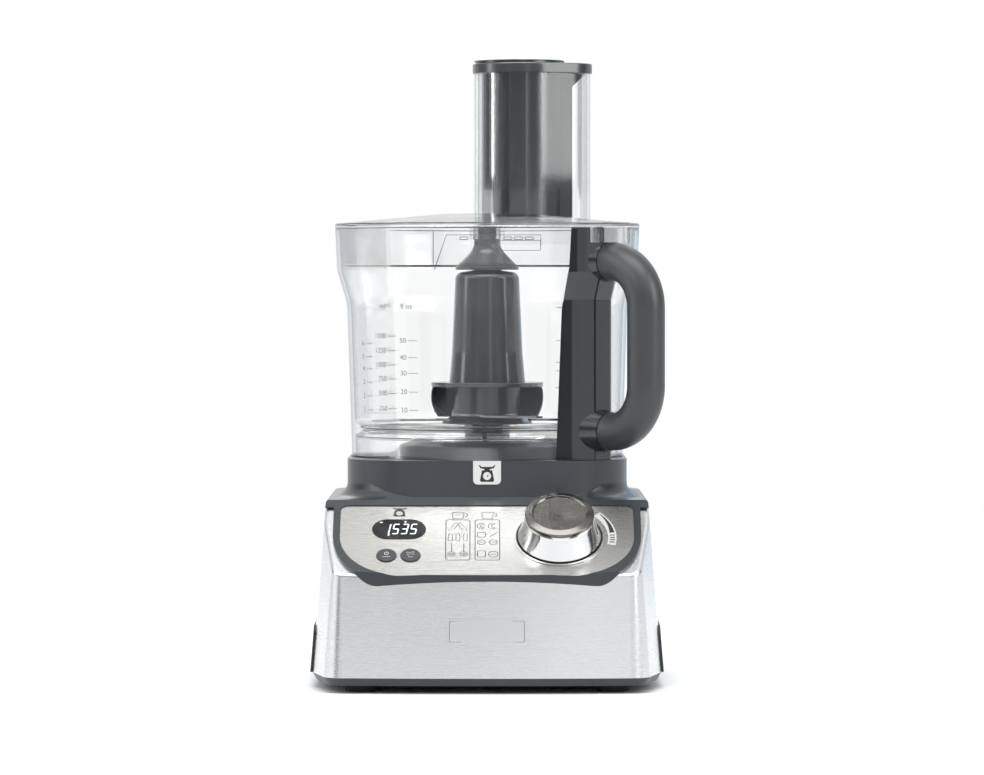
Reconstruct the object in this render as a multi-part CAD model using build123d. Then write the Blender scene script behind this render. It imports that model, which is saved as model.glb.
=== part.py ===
"""Food processor: powered base with built-in scale, clear bowl, lid with feed tube, pushers and a knife tool.

Millimetres. +Z is up, -Y is the front, and the origin is on the table under the middle of the base.
Each function returns one sub-part in its assembled place; build() lists them by node name.
"""
from build123d import *
import os
from math import atan2, cos, degrees, radians, sin, tan

# ---------------------------------------------------------------- driving dimensions
FOOT_HEIGHT = 5.0
TRAY_TOP = 10.0            # underside of the steel wrap
SHOULDER_Z = 120.0         # flat shoulder round the collar
RIM_Z = 145.0              # top of the collar lip
DECK_Z = 141.0             # groove floor that the bowl stands on
SIDE_DRAFT = 4.5           # degrees, all round the base
BASE_HALF_WIDTH = 112.5
BASE_FRONT_Y = -139.5
BASE_REAR_Y = 138.0
BOWL_Y = 25.0              # the drive axis is at (0, BOWL_Y)
COLLAR_HALF = 91.5
COLLAR_CORNER = 48.0
FLARE_RADIUS = 10.0
SHOULDER_ROUND = 2.0

SHEET = 1.0                # steel wrap thickness
WALL = 3.0                 # moulded housing walls
SEAM_Z = 115.0             # top edge of the steel on the sides
STEEL_DROP = 1.6           # the steel's sloping corners lie this far below the panel, measured upright
BEZEL_RISE = 0.8           # and the bezel this far above it
REAR_JOIN_Y = 100.0        # where the steel wrap meets the rear cover

PANEL_TILT = 35.7          # control panel, degrees above horizontal
PANEL_Y = -129.5           # lower edge of the panel plate
PANEL_Z = 75.5
PANEL_LENGTH = 69.5        # up the slope
PANEL_THICK = 1.5
# U-shaped outlines on the slope: half width, lower edge, and the lower corners' two half axes
BEZEL_U = (98.6, -4.6, 30.0, 46.0)
PLATE_U = (94.0, -1.0, 40.0, 40.0)

DIAL_AT = (46.2, 37.6)     # places on the panel: across, up the slope
DIAL_SEAT_R = 27.7
KNOB_HEIGHT = 20.0
DISPLAY_AT = (-56.3, 45.6)
DISPLAY_SIZE = (34.4, 20.0)
BUTTON_AT = {"button_power": (-63.9, 18.8), "button_units": (-48.6, 18.8)}
BUTTON_R = 6.3
BUTTON_SINK = 2.4          # depth of the keys' pockets under the panel's face

BOWL_RIM_R = 101.0
BOWL_RIM_Z = 296.3
BOWL_STEP_Z = 269.6        # bottom of the wide upper band
BOWL_BODY_R = 93.0
BOWL_FOOT_R = 89.6
BOWL_WALL = 2.6
BOWL_FLOOR_Z = 165.0
HANDLE_ANGLE = -46.0       # handle direction in plan, from +X towards the front
GRIP_R = 12.2
GRIP_REACH = 147.0         # grip centreline from the drive axis
GRIP_TOP_Z = 273.5
GRIP_BOTTOM_Z = 163.7

LID_TOP_Z = 299.2
HOOD_REACH = 121.0         # the lid's locking hood over the head of the handle's spine
HOOD_SPLIT = 111.0         # its side walls start this far out, clear of the spine
HOOD_LOW_Z = 286.0
TUBE_Y = BOWL_Y + 40.0
TUBE_BIG = (24.0, 32.6)    # feed tube outline: centre x and radius of its round end
TUBE_SMALL = (49.0, 20.2)  # and of its narrow end
TUBE_WALL = 2.4
TUBE_TOP_Z = 400.2
FLANGE_TOP_Z = 407.0
TOP_Z = 412.5

CLEAR = 0.3                # gap between neighbours that move
FIT = 0.05                 # running fit of shafts and pins

PANEL = Plane(origin=(0, PANEL_Y, PANEL_Z), x_dir=(1, 0, 0),
              z_dir=(0, -sin(radians(PANEL_TILT)), cos(radians(PANEL_TILT))))
AXIS = Pos(0, BOWL_Y, 0)   # moves a shape turned about Z onto the drive axis
HANDLE = AXIS * Rot(0, 0, HANDLE_ANGLE)


# ---------------------------------------------------------------- helpers
def rounded(*corners):
    """Closed outline through (x, y, radius) corners."""
    shape = make_face(Polyline(*[(x, y) for x, y, _ in corners], close=True).edges())
    sketch = Sketch() + shape
    for x, y, radius in corners:
        if radius:
            corner = min(sketch.vertices(), key=lambda v: (v.X - x) ** 2 + (v.Y - y) ** 2)
            sketch = fillet(corner, radius)
    return sketch


def turned(*corners):
    """Solid of revolution about Z from (radius, z, corner radius) points."""
    return revolve(Plane.XZ * rounded(*corners), Axis.Z)


def prism(sketch, low, high, taper=0.0):
    """Sketch extruded from height low to height high."""
    return extrude(Plane.XY.offset(low) * sketch, high - low, taper=taper)


def ring(inner, outer, low, high):
    return Pos(0, 0, low) * extrude(Circle(outer) - Circle(inner), high - low)


def rod(radius, low, high):
    return Pos(0, 0, low) * extrude(Circle(radius), high - low)


def block(x, y, z):
    """Box from its (low, high) limits on each axis."""
    size = [high - low for low, high in (x, y, z)]
    middle = [(high + low) / 2 for low, high in (x, y, z)]
    return Pos(*middle) * Box(*size)


def mirrored(shape):
    return mirror(shape, Plane.YZ)


def on_panel(place, height=0.0):
    """Location on the control panel, with its Z along the outward normal."""
    return Location(PANEL) * Pos(place[0], place[1], height)


def panel_height(y):
    """Height of the panel plane at a given y."""
    return PANEL_Z + (y - PANEL_Y) * tan(radians(PANEL_TILT))


# ---------------------------------------------------------------- the base's outer form
def base_outline(inset=0.0):
    """Plan of the base at TRAY_TOP, drawn in by inset."""
    half, front, rear = BASE_HALF_WIDTH, BASE_FRONT_Y, BASE_REAR_Y
    right = [(101.5, front + 7.5, 14), (half, -82, 60), (half, rear, 38)]
    left = [(-x, y, r) for x, y, r in reversed(right)]
    outline = rounded((0, front, 1000), *right, *left)
    return offset(outline, amount=-inset, kind=Kind.INTERSECTION) if inset else outline


def base_form(inset=0.0, top=SHOULDER_Z, low=TRAY_TOP):
    """The base's drafted block, drawn in by inset, from TRAY_TOP up."""
    return prism(base_outline(inset), low, top, SIDE_DRAFT)


def collar_outline(inset=0.0):
    side = 2 * (COLLAR_HALF - inset)
    return Pos(0, BOWL_Y) * RectangleRounded(side, side, COLLAR_CORNER - inset)


def above(plane_drop, level):
    """Everything above the panel plane lowered by plane_drop, in front, and above level behind."""
    front, back, roof = -220, 220, 480
    knee = PANEL_Y + (level - PANEL_Z + plane_drop) / tan(radians(PANEL_TILT))
    side = Polyline((front, panel_height(front) - plane_drop), (knee, level), (back, level),
                    (back, roof), (front, roof), close=True)
    return extrude(Plane.YZ * make_face(side.edges()), 200, both=True)


def over_panel(plane_drop=0.0):
    """The wedge of space over the panel, in front of the collar."""
    wedge = above(plane_drop, 460) - prism(collar_outline(), 0, 500)
    return wedge - block((-200, 200), (BOWL_Y - 30, 300), (0, 500))


# ---------------------------------------------------------------- base mouldings
def upper_housing():
    """Shoulder, collar, deck and bezel in one moulding."""
    outer = base_form()
    shoulder = outer.edges().filter_by_position(Axis.Z, SHOULDER_Z - 0.01, SHOULDER_Z + 0.01)
    outer = fillet(shoulder, SHOULDER_ROUND)
    outer += prism(collar_outline(), SHOULDER_Z - 5, RIM_Z)
    foot = outer.edges().filter_by_position(Axis.Z, SHOULDER_Z - 0.01, SHOULDER_Z + 0.01)
    inner_foot = [e for e in foot if abs(e.center().X) < COLLAR_HALF + 1
                  and abs(e.center().Y - BOWL_Y) < COLLAR_HALF + 1]
    outer = fillet(inner_foot, FLARE_RADIUS)
    outer -= over_panel(-BEZEL_RISE)
    knee = PANEL_Y + (SEAM_Z - PANEL_Z) / tan(radians(PANEL_TILT))
    outer &= bezel_zone() + block((-200, 200), (knee, 200), (SEAM_Z, 300))
    hollow = base_form(WALL, SHOULDER_Z - WALL) - above(WALL + PANEL_THICK + 1.5, SHOULDER_Z)
    hollow += prism(collar_outline(WALL), SHOULDER_Z - 8, DECK_Z - WALL) - above(
        WALL + PANEL_THICK + 1.5, 300)
    shell = outer - hollow - AXIS * rod(COLLAR_HALF - 1.2, DECK_Z, RIM_Z + 1)
    shell += AXIS * deck_dome()
    shell -= AXIS * rod(SEAT_BORE, 100, 170)
    shell -= panel_slab(plate_outline(0.15), -PANEL_THICK, 4.0)
    shell -= on_panel(DIAL_AT) * Pos(0, 0, -20) * Cylinder(11.5, 40)
    shell -= on_panel(DISPLAY_AT) * Pos(0, 0, -10) * Box(DISPLAY_SIZE[0] - 8, DISPLAY_SIZE[1] - 8, 20)
    for place in BUTTON_AT.values():
        shell -= on_panel(place) * (rod(BUTTON_R - 1.5, -20, 0) + rod(BUTTON_R + CLEAR, -BUTTON_SINK, 0))
    shell -= plunger_hole()
    shell -= badge_pocket()
    for x, y in HOUSING_POSTS:
        shell += Pos(x, y) * ring(2.0, 5.0, POST_LOW, SHOULDER_Z - WALL + 0.5)
    return shell


HOUSING_POSTS = [(-92.0, -50.0), (92.0, -50.0), (-92.0, 76.0), (92.0, 76.0)]
POST_LOW = 8.3
SEAT_BORE = 11.0           # bore of the outlet boss, which holds the upper bearing


def deck_dome():
    """Raised centre of the deck with the drive outlet boss."""
    top = [(8, 166.0, 0), (15, 166.0, 1.5), (15, 156.5, 1), (46, 156.5, 6), (58, 152.5, 5),
           (67, 141.5, 0)]
    under = [(67, 137.0, 0), (60, 142.0, 0), (54, 149.5, 0), (44, 153.0, 0), (15, 153.0, 0),
             (15, 122.0, 0), (8, 122.0, 0)]
    return turned(*top, *under)


def panel_outline(half, bottom, across, up, top):
    """Outline on the slope with upright sides and elliptical lower corners."""
    sides = Pos(0, (bottom + up + top) / 2) * Rectangle(2 * half, top - bottom - up)
    middle = Pos(0, (bottom + top) / 2) * Rectangle(2 * (half - across), top - bottom)
    left, right = [Pos(side * (half - across), bottom + up) * Ellipse(across, up) for side in (-1, 1)]
    whole = Pos(0, (bottom + top) / 2) * Rectangle(2 * half, top - bottom)
    return (sides + middle + left + right) & whole


def panel_slab(outline, low, high):
    """An outline on the slope, thickened between two heights along the panel's normal."""
    return Location(PANEL) * Pos(0, 0, low) * extrude(outline, high - low)


def bezel_zone():
    """Everything inside the bezel's outer edge, from well under the slope to well over it."""
    return panel_slab(panel_outline(*BEZEL_U, PANEL_LENGTH + 45), -8, 60)


def plate_outline(gap=0.0):
    half, bottom, across, up = PLATE_U
    outline = panel_outline(half + gap, bottom - gap, across, up, PANEL_LENGTH + gap)
    upper = outline.vertices().sort_by(Axis.Y)[-2:]
    return fillet(upper, 5)


def control_panel():
    """Brushed plate with the openings for the dial, display and buttons."""
    plate = panel_slab(plate_outline(), -PANEL_THICK, 0.0)
    plate -= on_panel(DIAL_AT) * Cylinder(DIAL_SEAT_R + 0.1, 10)
    plate += on_panel(DIAL_AT) * Pos(0, 0, -PANEL_THICK) * extrude(
        Circle(DIAL_SEAT_R + 1.5) - Circle(DIAL_SEAT_R + 0.1), PANEL_THICK + 0.5)
    plate -= on_panel(DISPLAY_AT) * extrude(
        SlotOverall(DISPLAY_SIZE[0] + 0.2, DISPLAY_SIZE[1] + 0.2), 10, both=True)
    for place in BUTTON_AT.values():
        plate -= on_panel(place) * Cylinder(BUTTON_R + CLEAR, 10)
    return plate


def steel_skin():
    """Wrap of thin stainless sheet round the front and both sides, turned over the slope's lower corners."""
    outer = base_form() - above(STEEL_DROP, SEAM_Z)
    slope = max(outer.faces(), key=lambda f: f.normal_at().dot(PANEL.z_dir) * (f.area > 100))
    turned_edges = [e for e in slope.edges() if e.center().Z < SEAM_Z - 0.5]
    outer = fillet(turned_edges, 3.0)
    inner = base_form(SHEET, SHOULDER_Z + 5) - above(STEEL_DROP + 1.3 * SHEET, 300)
    skin = outer - inner - bezel_zone()
    return skin - block((-200, 200), (REAR_JOIN_Y, 200), (0, 200))


def rear_cover():
    """Moulded rear wall between the ends of the steel wrap, with its vent slots and the cord inlet hole."""
    cover = base_form() - base_form(2.6, SHOULDER_Z + 5) - above(STEEL_DROP, SEAM_Z)
    cover -= block((-200, 200), (-200, REAR_JOIN_Y + 0.4), (0, 200))
    for row in range(6):
        height = 48 + row * 8
        cover -= Pos(0, BASE_REAR_Y - 8, height) * Rot(90, 0, 0) * extrude(SlotOverall(70, 3), 30, both=True)
    cover -= Pos(*GLAND_AT) * Rot(90, 0, 0) * Cylinder(8.1, 30)
    return cover


def base_tray():
    """Bottom cover: a shallow pan with a locating flange inside the wrap, and bosses over the feet."""
    flare = degrees(atan2(3.0, TRAY_TOP - FOOT_HEIGHT))
    pan = prism(base_outline(3.0), FOOT_HEIGHT, TRAY_TOP, -flare)
    pan -= prism(base_outline(7.0), FOOT_HEIGHT + 3, TRAY_TOP + 1)
    flange = base_form(3.4, TRAY_TOP + 5) - base_form(5.2, TRAY_TOP + 6)
    tray = pan + (flange & block((-200, 200), (-200, 200), (TRAY_TOP, TRAY_TOP + 5)))
    tray += prism(base_outline(3.4) - base_outline(7.0), TRAY_TOP - 1, TRAY_TOP)
    for x, y in FOOT_PLACES.values():
        tray += Pos(x, y, FOOT_HEIGHT) * extrude(Circle(15), 8)
        tray -= Pos(x, y, FOOT_HEIGHT) * extrude(Circle(12.5), 5)
        tray -= Pos(x, y, FOOT_HEIGHT) * extrude(Circle(2), 10)
    for x, y in CHASSIS_POSTS:
        tray += Pos(x, y, FOOT_HEIGHT) * extrude(Circle(6), CHASSIS_Z - FOOT_HEIGHT)
        tray -= Pos(x, y, CHASSIS_Z - 12) * extrude(Circle(2), 14)
    for x, y in HOUSING_POSTS:
        tray -= Pos(x, y) * (rod(2.2, 0, 12) + rod(4.3, 0, FOOT_HEIGHT + 1.6))
    for row in range(5):
        tray -= Pos(-30, 60 + row * 8, FOOT_HEIGHT) * extrude(SlotOverall(46, 3.5), 6, both=True)
    return tray


FOOT_PLACES = {
    "foot_front_left": (-80.0, -108.0), "foot_front_right": (80.0, -108.0),
    "foot_rear_left": (-84.0, 104.0), "foot_rear_right": (84.0, 104.0),
}
CHASSIS_Z = 46.0
CHASSIS_POSTS = [(-74.0, -78.0), (74.0, -78.0), (-74.0, 74.0), (74.0, 74.0)]


def foot(place):
    """Rubber foot with a stem up to its load cell."""
    pad = turned((0, 0, 0), (10.5, 0, 1.0), (12.0, 4.0, 0), (12.0, 7.0, 0), (1.8, 7.0, 0), (1.8, 13.0, 0),
                 (0, 13.0, 0))
    return Pos(*place, 0) * pad


def housing_screws():
    """Four screws up through the tray into the upper housing's posts."""
    screws = [Pos(x, y) * (rod(4.0, FOOT_HEIGHT + 0.2, FOOT_HEIGHT + 1.5) + rod(1.95, FOOT_HEIGHT + 1.5, 30))
              for x, y in HOUSING_POSTS]
    return Compound(children=[s for screw in screws for s in screw.solids()])


def load_cells():
    """Four bending-beam load cells, one over each foot."""
    cells = []
    for x, y in FOOT_PLACES.values():
        beam = block((-12, 12), (-6, 6), (0, 4))
        beam -= Pos(-4, 0, 0) * Cylinder(2.2, 20) + Pos(4, 0, 0) * Cylinder(2.2, 20)
        beam -= block((-4, 4), (-1.2, 1.2), (-5, 5))
        cells.append(Pos(x, y, FOOT_HEIGHT + 8.0) * beam)
    return Compound(children=[solid for cell in cells for solid in cell.solids()])


def side_trim():
    """Black lower guard on the right side; the left one is its mirror image."""
    band = base_form(-1.4, 44.0) - base_form(0.0, 60)
    band &= block((60, 200), (-84, 60), (TRAY_TOP, 40.0))
    upright = [e for e in band.edges() if abs(e.tangent_at(0).X) > 0.8 and e.center().Z > 36]
    return fillet(upright, 6) if upright else band


def nameplate():
    """Blank badge plate let into the front, standing 0.6 mm proud."""
    across, low, high = 25.0, 31.8, 47.6
    plate = base_form(-0.6, 60) - base_form(0.0, 60)
    window = Plane.XZ * (Pos(0, (low + high) / 2) * RectangleRounded(2 * across, high - low, 0.8))
    return plate & (Pos(0, BASE_FRONT_Y + 20, 0) * extrude(window, 25))


def badge_sketch(grow=0.0):
    low, high, half = 129.8, RIM_Z, 9.0 + grow
    return rounded((-half, high, 0), (-half, low - grow, 3), (half, low - grow, 3), (half, high, 0))


def badge_pocket():
    front = BOWL_Y - COLLAR_HALF
    return Pos(0, front + 0.8, 0) * extrude(Plane.XZ * badge_sketch(0.1), 10)


def scale_badge():
    """Silver plate in the front of the collar that carries the scale pictogram."""
    front = BOWL_Y - COLLAR_HALF
    return Pos(0, front + 0.8, 0) * extrude(Plane.XZ * badge_sketch(), 1.2)


# ---------------------------------------------------------------- controls
def display_lens():
    lens = extrude(SlotOverall(*DISPLAY_SIZE), PANEL_THICK + 0.3)
    return on_panel(DISPLAY_AT, -PANEL_THICK) * lens


def display_module():
    """Segment display on its small board, behind the housing's window."""
    body = block((-13, 13), (-5.7, 5.7), (-9, -PANEL_THICK - 0.2))
    board = block((-20, 20), (-14, 14), (-10.6, -9))
    return on_panel(DISPLAY_AT) * (body + board)


def button(place):
    """Round key: cap over a stem that reaches its switch."""
    cap = turned((0, -1.0, 0), (BUTTON_R, -1.0, 0), (BUTTON_R, 1.0, 0.6), (0, 1.3, 0))
    stem = rod(2.0, -7.0, -1.0)
    return on_panel(place) * (cap + stem)


def dial_knob():
    """Chromed bell-shaped skirt of the speed dial."""
    low = 0.5
    bell = Plane.XZ * make_face((
        Line((8, low), (26.6, low)) + Line((26.6, low), (26.6, 1.4))
        + RadiusArc((26.6, 1.4), (22.1, KNOB_HEIGHT - 4.5), 60)
        + Line((22.1, KNOB_HEIGHT - 4.5), (22.1, KNOB_HEIGHT - 3.2))
        + Line((22.1, KNOB_HEIGHT - 3.2), (8, KNOB_HEIGHT - 3.2))
        + Line((8, KNOB_HEIGHT - 3.2), (8, low))).edges())
    return on_panel(DIAL_AT) * revolve(bell, Axis.Z)


def dial_cap():
    """Smoked metal cap with a shallow dished face, pressed on the knob."""
    face = KNOB_HEIGHT
    cap = turned((0, face - 3.2, 0), (22.1, face - 3.2, 0), (22.1, face - 1.0, 0.6), (17.6, face, 0.3),
                 (16.8, face - 0.8, 0), (0, face - 1.6, 0))
    return on_panel(DIAL_AT) * cap


def dial_shaft():
    """D-shaft from the rotary switch to the knob."""
    shaft = rod(3.0, -16.0, KNOB_HEIGHT - 3.2) - block((2.2, 5), (-5, 5), (-2, 20))
    sleeve = ring(3.0, 7.95, 1.0, KNOB_HEIGHT - 3.4)
    return on_panel(DIAL_AT) * (shaft + sleeve)


def dial_seal():
    """Black ring in the gap round the dial."""
    seat = ring(10.0, DIAL_SEAT_R, -PANEL_THICK, -0.4) + ring(DIAL_SEAT_R - 0.7, DIAL_SEAT_R, -0.4, 0.2)
    return on_panel(DIAL_AT) * seat


def dial_switch():
    """Rotary speed switch on the back of the housing."""
    body = turned((3.2, -18.0, 0), (14.0, -18.0, 1), (14.0, -8.4, 1), (3.2, -8.4, 0))
    bush = ring(3.1, 5.5, -8.4, -2.0)
    return on_panel(DIAL_AT) * (body + bush)


def control_board():
    """Main board under the panel, with its transformer and capacitor."""
    board = block((-44, 30), (2, 40), (-24.6, -23.0))
    transformer = block((-38, -18), (8, 26), (-40, -24.6))
    capacitor = Pos(8, 20, -32.3) * Cylinder(7, 15.4)
    return Location(PANEL) * (board + transformer + capacitor)


# ---------------------------------------------------------------- motor and drive
MOTOR_Y = -52.0
PULLEY_LOW = 24.0
PULLEY_HIGH = 38.0
SMALL_PULLEY_R = 9.0
LARGE_PULLEY_R = 42.0
SPINDLE_R = 6.0
MOTOR = Pos(0, MOTOR_Y, 0)


def chassis_plate():
    """Pressed plate that carries the motor and the spindle's lower bearing."""
    plate = extrude(RectangleRounded(168, 176, 12), 3)
    plate -= Pos(0, MOTOR_Y) * extrude(Circle(12), 10, both=True)
    plate -= Pos(0, BOWL_Y) * extrude(Circle(11.0), 10, both=True)
    plate += Pos(0, BOWL_Y) * extrude(Circle(16) - Circle(11.0), 12)
    for x, y in CHASSIS_POSTS:
        plate -= Pos(x, y) * extrude(Circle(2.4), 10, both=True)
    for side in (-1, 1):
        plate -= Pos(side * 55, 10) * extrude(SlotOverall(60, 22, rotation=90), 10, both=True)
        plate -= Pos(side * 24, MOTOR_Y) * extrude(Circle(2.2), 10, both=True)
    return Pos(0, 0, CHASSIS_Z) * plate


def chassis_screws():
    screws = [Pos(x, y, 0) * (rod(1.9, CHASSIS_Z - 10, CHASSIS_Z + 3) + rod(4, CHASSIS_Z + 3, CHASSIS_Z + 5.5))
              for x, y in CHASSIS_POSTS]
    return Compound(children=[s for screw in screws for s in screw.solids()])


def motor_stator():
    """Laminated field core with its two windings."""
    core = ring(22.5, 33, 56, 78)
    core -= block((-40, 40), (-40, -31), (0, 200)) + block((-40, 40), (31, 40), (0, 200))
    coils = block((-15, 15), (23.8, 29.8), (52, 82)) + block((-15, 15), (-29.8, -23.8), (52, 82))
    return MOTOR * (core + coils)


def motor_frame():
    """Two end brackets and pillars that clamp the field core to the chassis plate."""
    low = ring(4.05, 31, CHASSIS_Z + 3, CHASSIS_Z + 5.5)
    high = block((-33, 33), (-8, 8), (85, 88)) - rod(4.05, 80, 90)
    pillars = Pos(34.6, 0, 0) * rod(1.5, CHASSIS_Z + 3, 88) + Pos(-34.6, 0, 0) * rod(1.5, CHASSIS_Z + 3, 88)
    feet = block((30, 36), (-3, 3), (CHASSIS_Z + 3, CHASSIS_Z + 5.5)) + block(
        (-36, -30), (-3, 3), (CHASSIS_Z + 3, CHASSIS_Z + 5.5))
    ears = block((32, 36), (-3, 3), (85, 88)) + block((-36, -32), (-3, 3), (85, 88))
    return MOTOR * (low + high + pillars + feet + ears)


def motor_rotor():
    """Armature, commutator and shaft."""
    shaft = rod(4.0, PULLEY_LOW - 3, 96)
    armature = rod(21.5, 57, 77)
    armature -= sum((Rot(0, 0, 30 * i) * block((17, 30), (-1.2, 1.2), (50, 90)) for i in range(12)), Part())
    commutator = rod(11, 78, 84)
    return MOTOR * (shaft + armature + commutator)


def cooling_fan():
    """Radial fan on the top of the motor shaft."""
    hub = ring(4.0, 8.0, 88.8, 95.5) + ring(7.0, 25.0, 88.8, 90.2)
    blade = Rot(0, 0, 12) * Pos(15.5, 0, 92.8) * Box(17.5, 1.2, 5.4)
    blades = [Rot(0, 0, 36 * i) * blade for i in range(10)]
    return MOTOR * (hub + blades)


def carbon_brushes():
    """Two brushes that bear on the commutator."""
    brush = block((11.15, 21), (-3, 3), (79, 83.5))
    return MOTOR * Compound(children=[brush, Rot(0, 0, 180) * brush])


def grooved_pulley(radius, bore):
    """Poly-V pulley with a rim each side."""
    points = [(bore, PULLEY_LOW, 0), (radius + 1.5, PULLEY_LOW, 0), (radius + 1.5, PULLEY_LOW + 1.5, 0)]
    grooves, pitch = 4, 2.4
    for i in range(grooves):
        low = PULLEY_LOW + 1.5 + 0.5 + i * pitch
        points += [(radius, low, 0), (radius - 1.4, low + pitch / 2, 0)]
    points += [(radius, PULLEY_LOW + 1.5 + 0.5 + grooves * pitch, 0), (radius, PULLEY_HIGH - 1.5, 0),
               (radius + 1.5, PULLEY_HIGH - 1.5, 0), (radius + 1.5, PULLEY_HIGH, 0), (bore, PULLEY_HIGH, 0)]
    return turned(*points)


def motor_pulley():
    return MOTOR * grooved_pulley(SMALL_PULLEY_R, 4.0)


def driven_pulley():
    """Large pulley on the spindle, with lightening holes in its web."""
    wheel = grooved_pulley(LARGE_PULLEY_R, SPINDLE_R)
    wheel -= ring(13, 34, PULLEY_LOW - 1, PULLEY_LOW + 4) + ring(13, 34, PULLEY_HIGH - 4, PULLEY_HIGH + 1)
    for i in range(6):
        wheel -= Rot(0, 0, 60 * i) * Pos(23.5, 0, 0) * rod(6, 0, 60)
    return AXIS * wheel


def drive_belt():
    """Flat-backed belt round both pulleys, clear of their rims."""
    gap, thick = CLEAR, 2.0
    def loop(extra):
        return make_hull((Pos(0, MOTOR_Y) * Circle(SMALL_PULLEY_R + extra)).edges()
                         + (Pos(0, BOWL_Y) * Circle(LARGE_PULLEY_R + extra)).edges())
    band = prism(loop(gap + thick), PULLEY_LOW + 2.2, PULLEY_HIGH - 2.2)
    return band - prism(loop(gap), PULLEY_LOW, PULLEY_HIGH)


def spindle():
    """Output shaft with a hexagon head on which the removable drive shaft sits."""
    shaft = rod(SPINDLE_R, PULLEY_LOW - 4, 166)
    head = Pos(0, 0, 166) * extrude(RegularPolygon(5.4, 6), 12)
    return AXIS * (shaft + head)


def bearing(low):
    """Ball bearing drawn as its two rings and the balls' cage between them, in one solid."""
    outer, inner = SEAT_BORE - 0.02, SPINDLE_R + 0.02
    return AXIS * turned((inner, low, 0), (outer, low, 0.5), (outer, low + 7, 0.5), (inner, low + 7, 0))


def spindle_seal():
    """Rubber lip seal in the top of the outlet boss."""
    return AXIS * turned((SPINDLE_R + 0.05, 158.5, 0), (SEAT_BORE - 0.02, 158.5, 0),
                         (SEAT_BORE - 0.02, 164.5, 0),
                         (9.2, 165.6, 0), (SPINDLE_R + 0.05, 163.0, 0))


def drive_shaft():
    """Removable shaft that stands on the spindle and turns the tool."""
    body = turned((0, 166.2, 0), (7.4, 166.2, 0.6), (7.4, 190, 0), (6.2, 194, 0), (6.2, 248, 0), (0, 248, 0))
    body -= Pos(0, 0, 166) * extrude(RegularPolygon(5.4 + FIT, 6), 12.3)
    head = Pos(0, 0, 248) * extrude(RegularPolygon(6.2, 6), 14)
    return AXIS * (body + head)


# ---------------------------------------------------------------- interlock in the base
def plunger_hole():
    return HANDLE * Pos(INTERLOCK_R, 0, 0) * rod(2.6, 100, 160)


def interlock_plunger():
    """Sprung pin in the collar that the bowl's handle presses."""
    pin = rod(2.3, 116, RIM_Z + 0.1) + block((-9, 0), (-2.2, 2.2), (116, 119))
    return HANDLE * Pos(INTERLOCK_R, 0, 0) * pin


def interlock_switch():
    """Microswitch under the plunger."""
    body = block((-6, 6), (-3, 3), (96, 110)) + rod(1.2, 110, 112.5)
    return HANDLE * Pos(INTERLOCK_R - 4, 0, 0) * body


# ---------------------------------------------------------------- rear and cord inlet
GLAND_AT = (-52.0, 135.2, 26.0)


def cord_gland():
    """Moulded bush in the rear cover that the supply cord enters through."""
    face = GLAND_AT[1]
    gland = turned((3.6, -14.0, 0), (7.0, -14.0, 0), (7.0, -5.2, 0), (8.0, -5.2, 0), (8.0, 2.5, 0),
                   (9.5, 2.5, 0), (9.5, 4.5, 1), (3.6, 4.5, 0))
    return Pos(GLAND_AT[0], face, GLAND_AT[2]) * Rot(-90, 0, 0) * gland


# ---------------------------------------------------------------- bowl
def bowl_radius(z):
    """Outer radius of the bowl's lower body at a height."""
    share = (z - DECK_Z) / (246.0 - DECK_Z)
    return BOWL_FOOT_R + (BOWL_BODY_R - BOWL_FOOT_R) * share


def bowl():
    """Clear bowl: wide upper band, drawn-in body, raised floor on a skirt, and the tall centre tube."""
    wall, foot_z = BOWL_WALL, DECK_Z + 0.2
    outer = [(BOWL_FOOT_R, foot_z, 0.6), (BOWL_BODY_R, 246, 40), (99.7, BOWL_STEP_Z - 1, 14),
             (BOWL_RIM_R, BOWL_RIM_Z, 0.6)]
    inner = [(BOWL_RIM_R - wall, BOWL_RIM_Z, 0.6), (99.7 - wall, BOWL_STEP_Z - 1, 11),
             (BOWL_BODY_R - wall, 246, 40),
             (bowl_radius(BOWL_FLOOR_Z) - wall, BOWL_FLOOR_Z, 6), (18.4, BOWL_FLOOR_Z, 3),
             (16.6, 246, 1.5), (8.0, 246, 0)]
    under = [(8.0, 243.4, 0), (14.2, 243.4, 0), (15.8, BOWL_FLOOR_Z - wall, 0),
             (bowl_radius(162) - wall - 5, BOWL_FLOOR_Z - wall, 0),
             (bowl_radius(157) - wall, 157, 0), (BOWL_FOOT_R - wall, foot_z, 0.6)]
    body = turned(*outer, *inner, *under)
    for angle in (45, 135, 225, 315):
        rib = Rot(0, 0, angle + HANDLE_ANGLE) * block((82.6, 88.0), (-1.5, 1.5), (foot_z + 1, 163.5))
        body += rib
    return AXIS * body


INTERLOCK_R = 104.5        # interlock rod and plunger, from the drive axis along the handle direction


def spine_plan(root, face):
    """Plan of the spine: wide at the bowl, with bulging flanks and a rounded outer face."""
    bulge = root + 0.62 * (face - root)
    return rounded((root, -22.8, 0), (bulge, -17.0, 14), (face, -7.5, 4), (face, 7.5, 4), (bulge, 17.0, 14),
                   (root, 22.8, 0))


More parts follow.
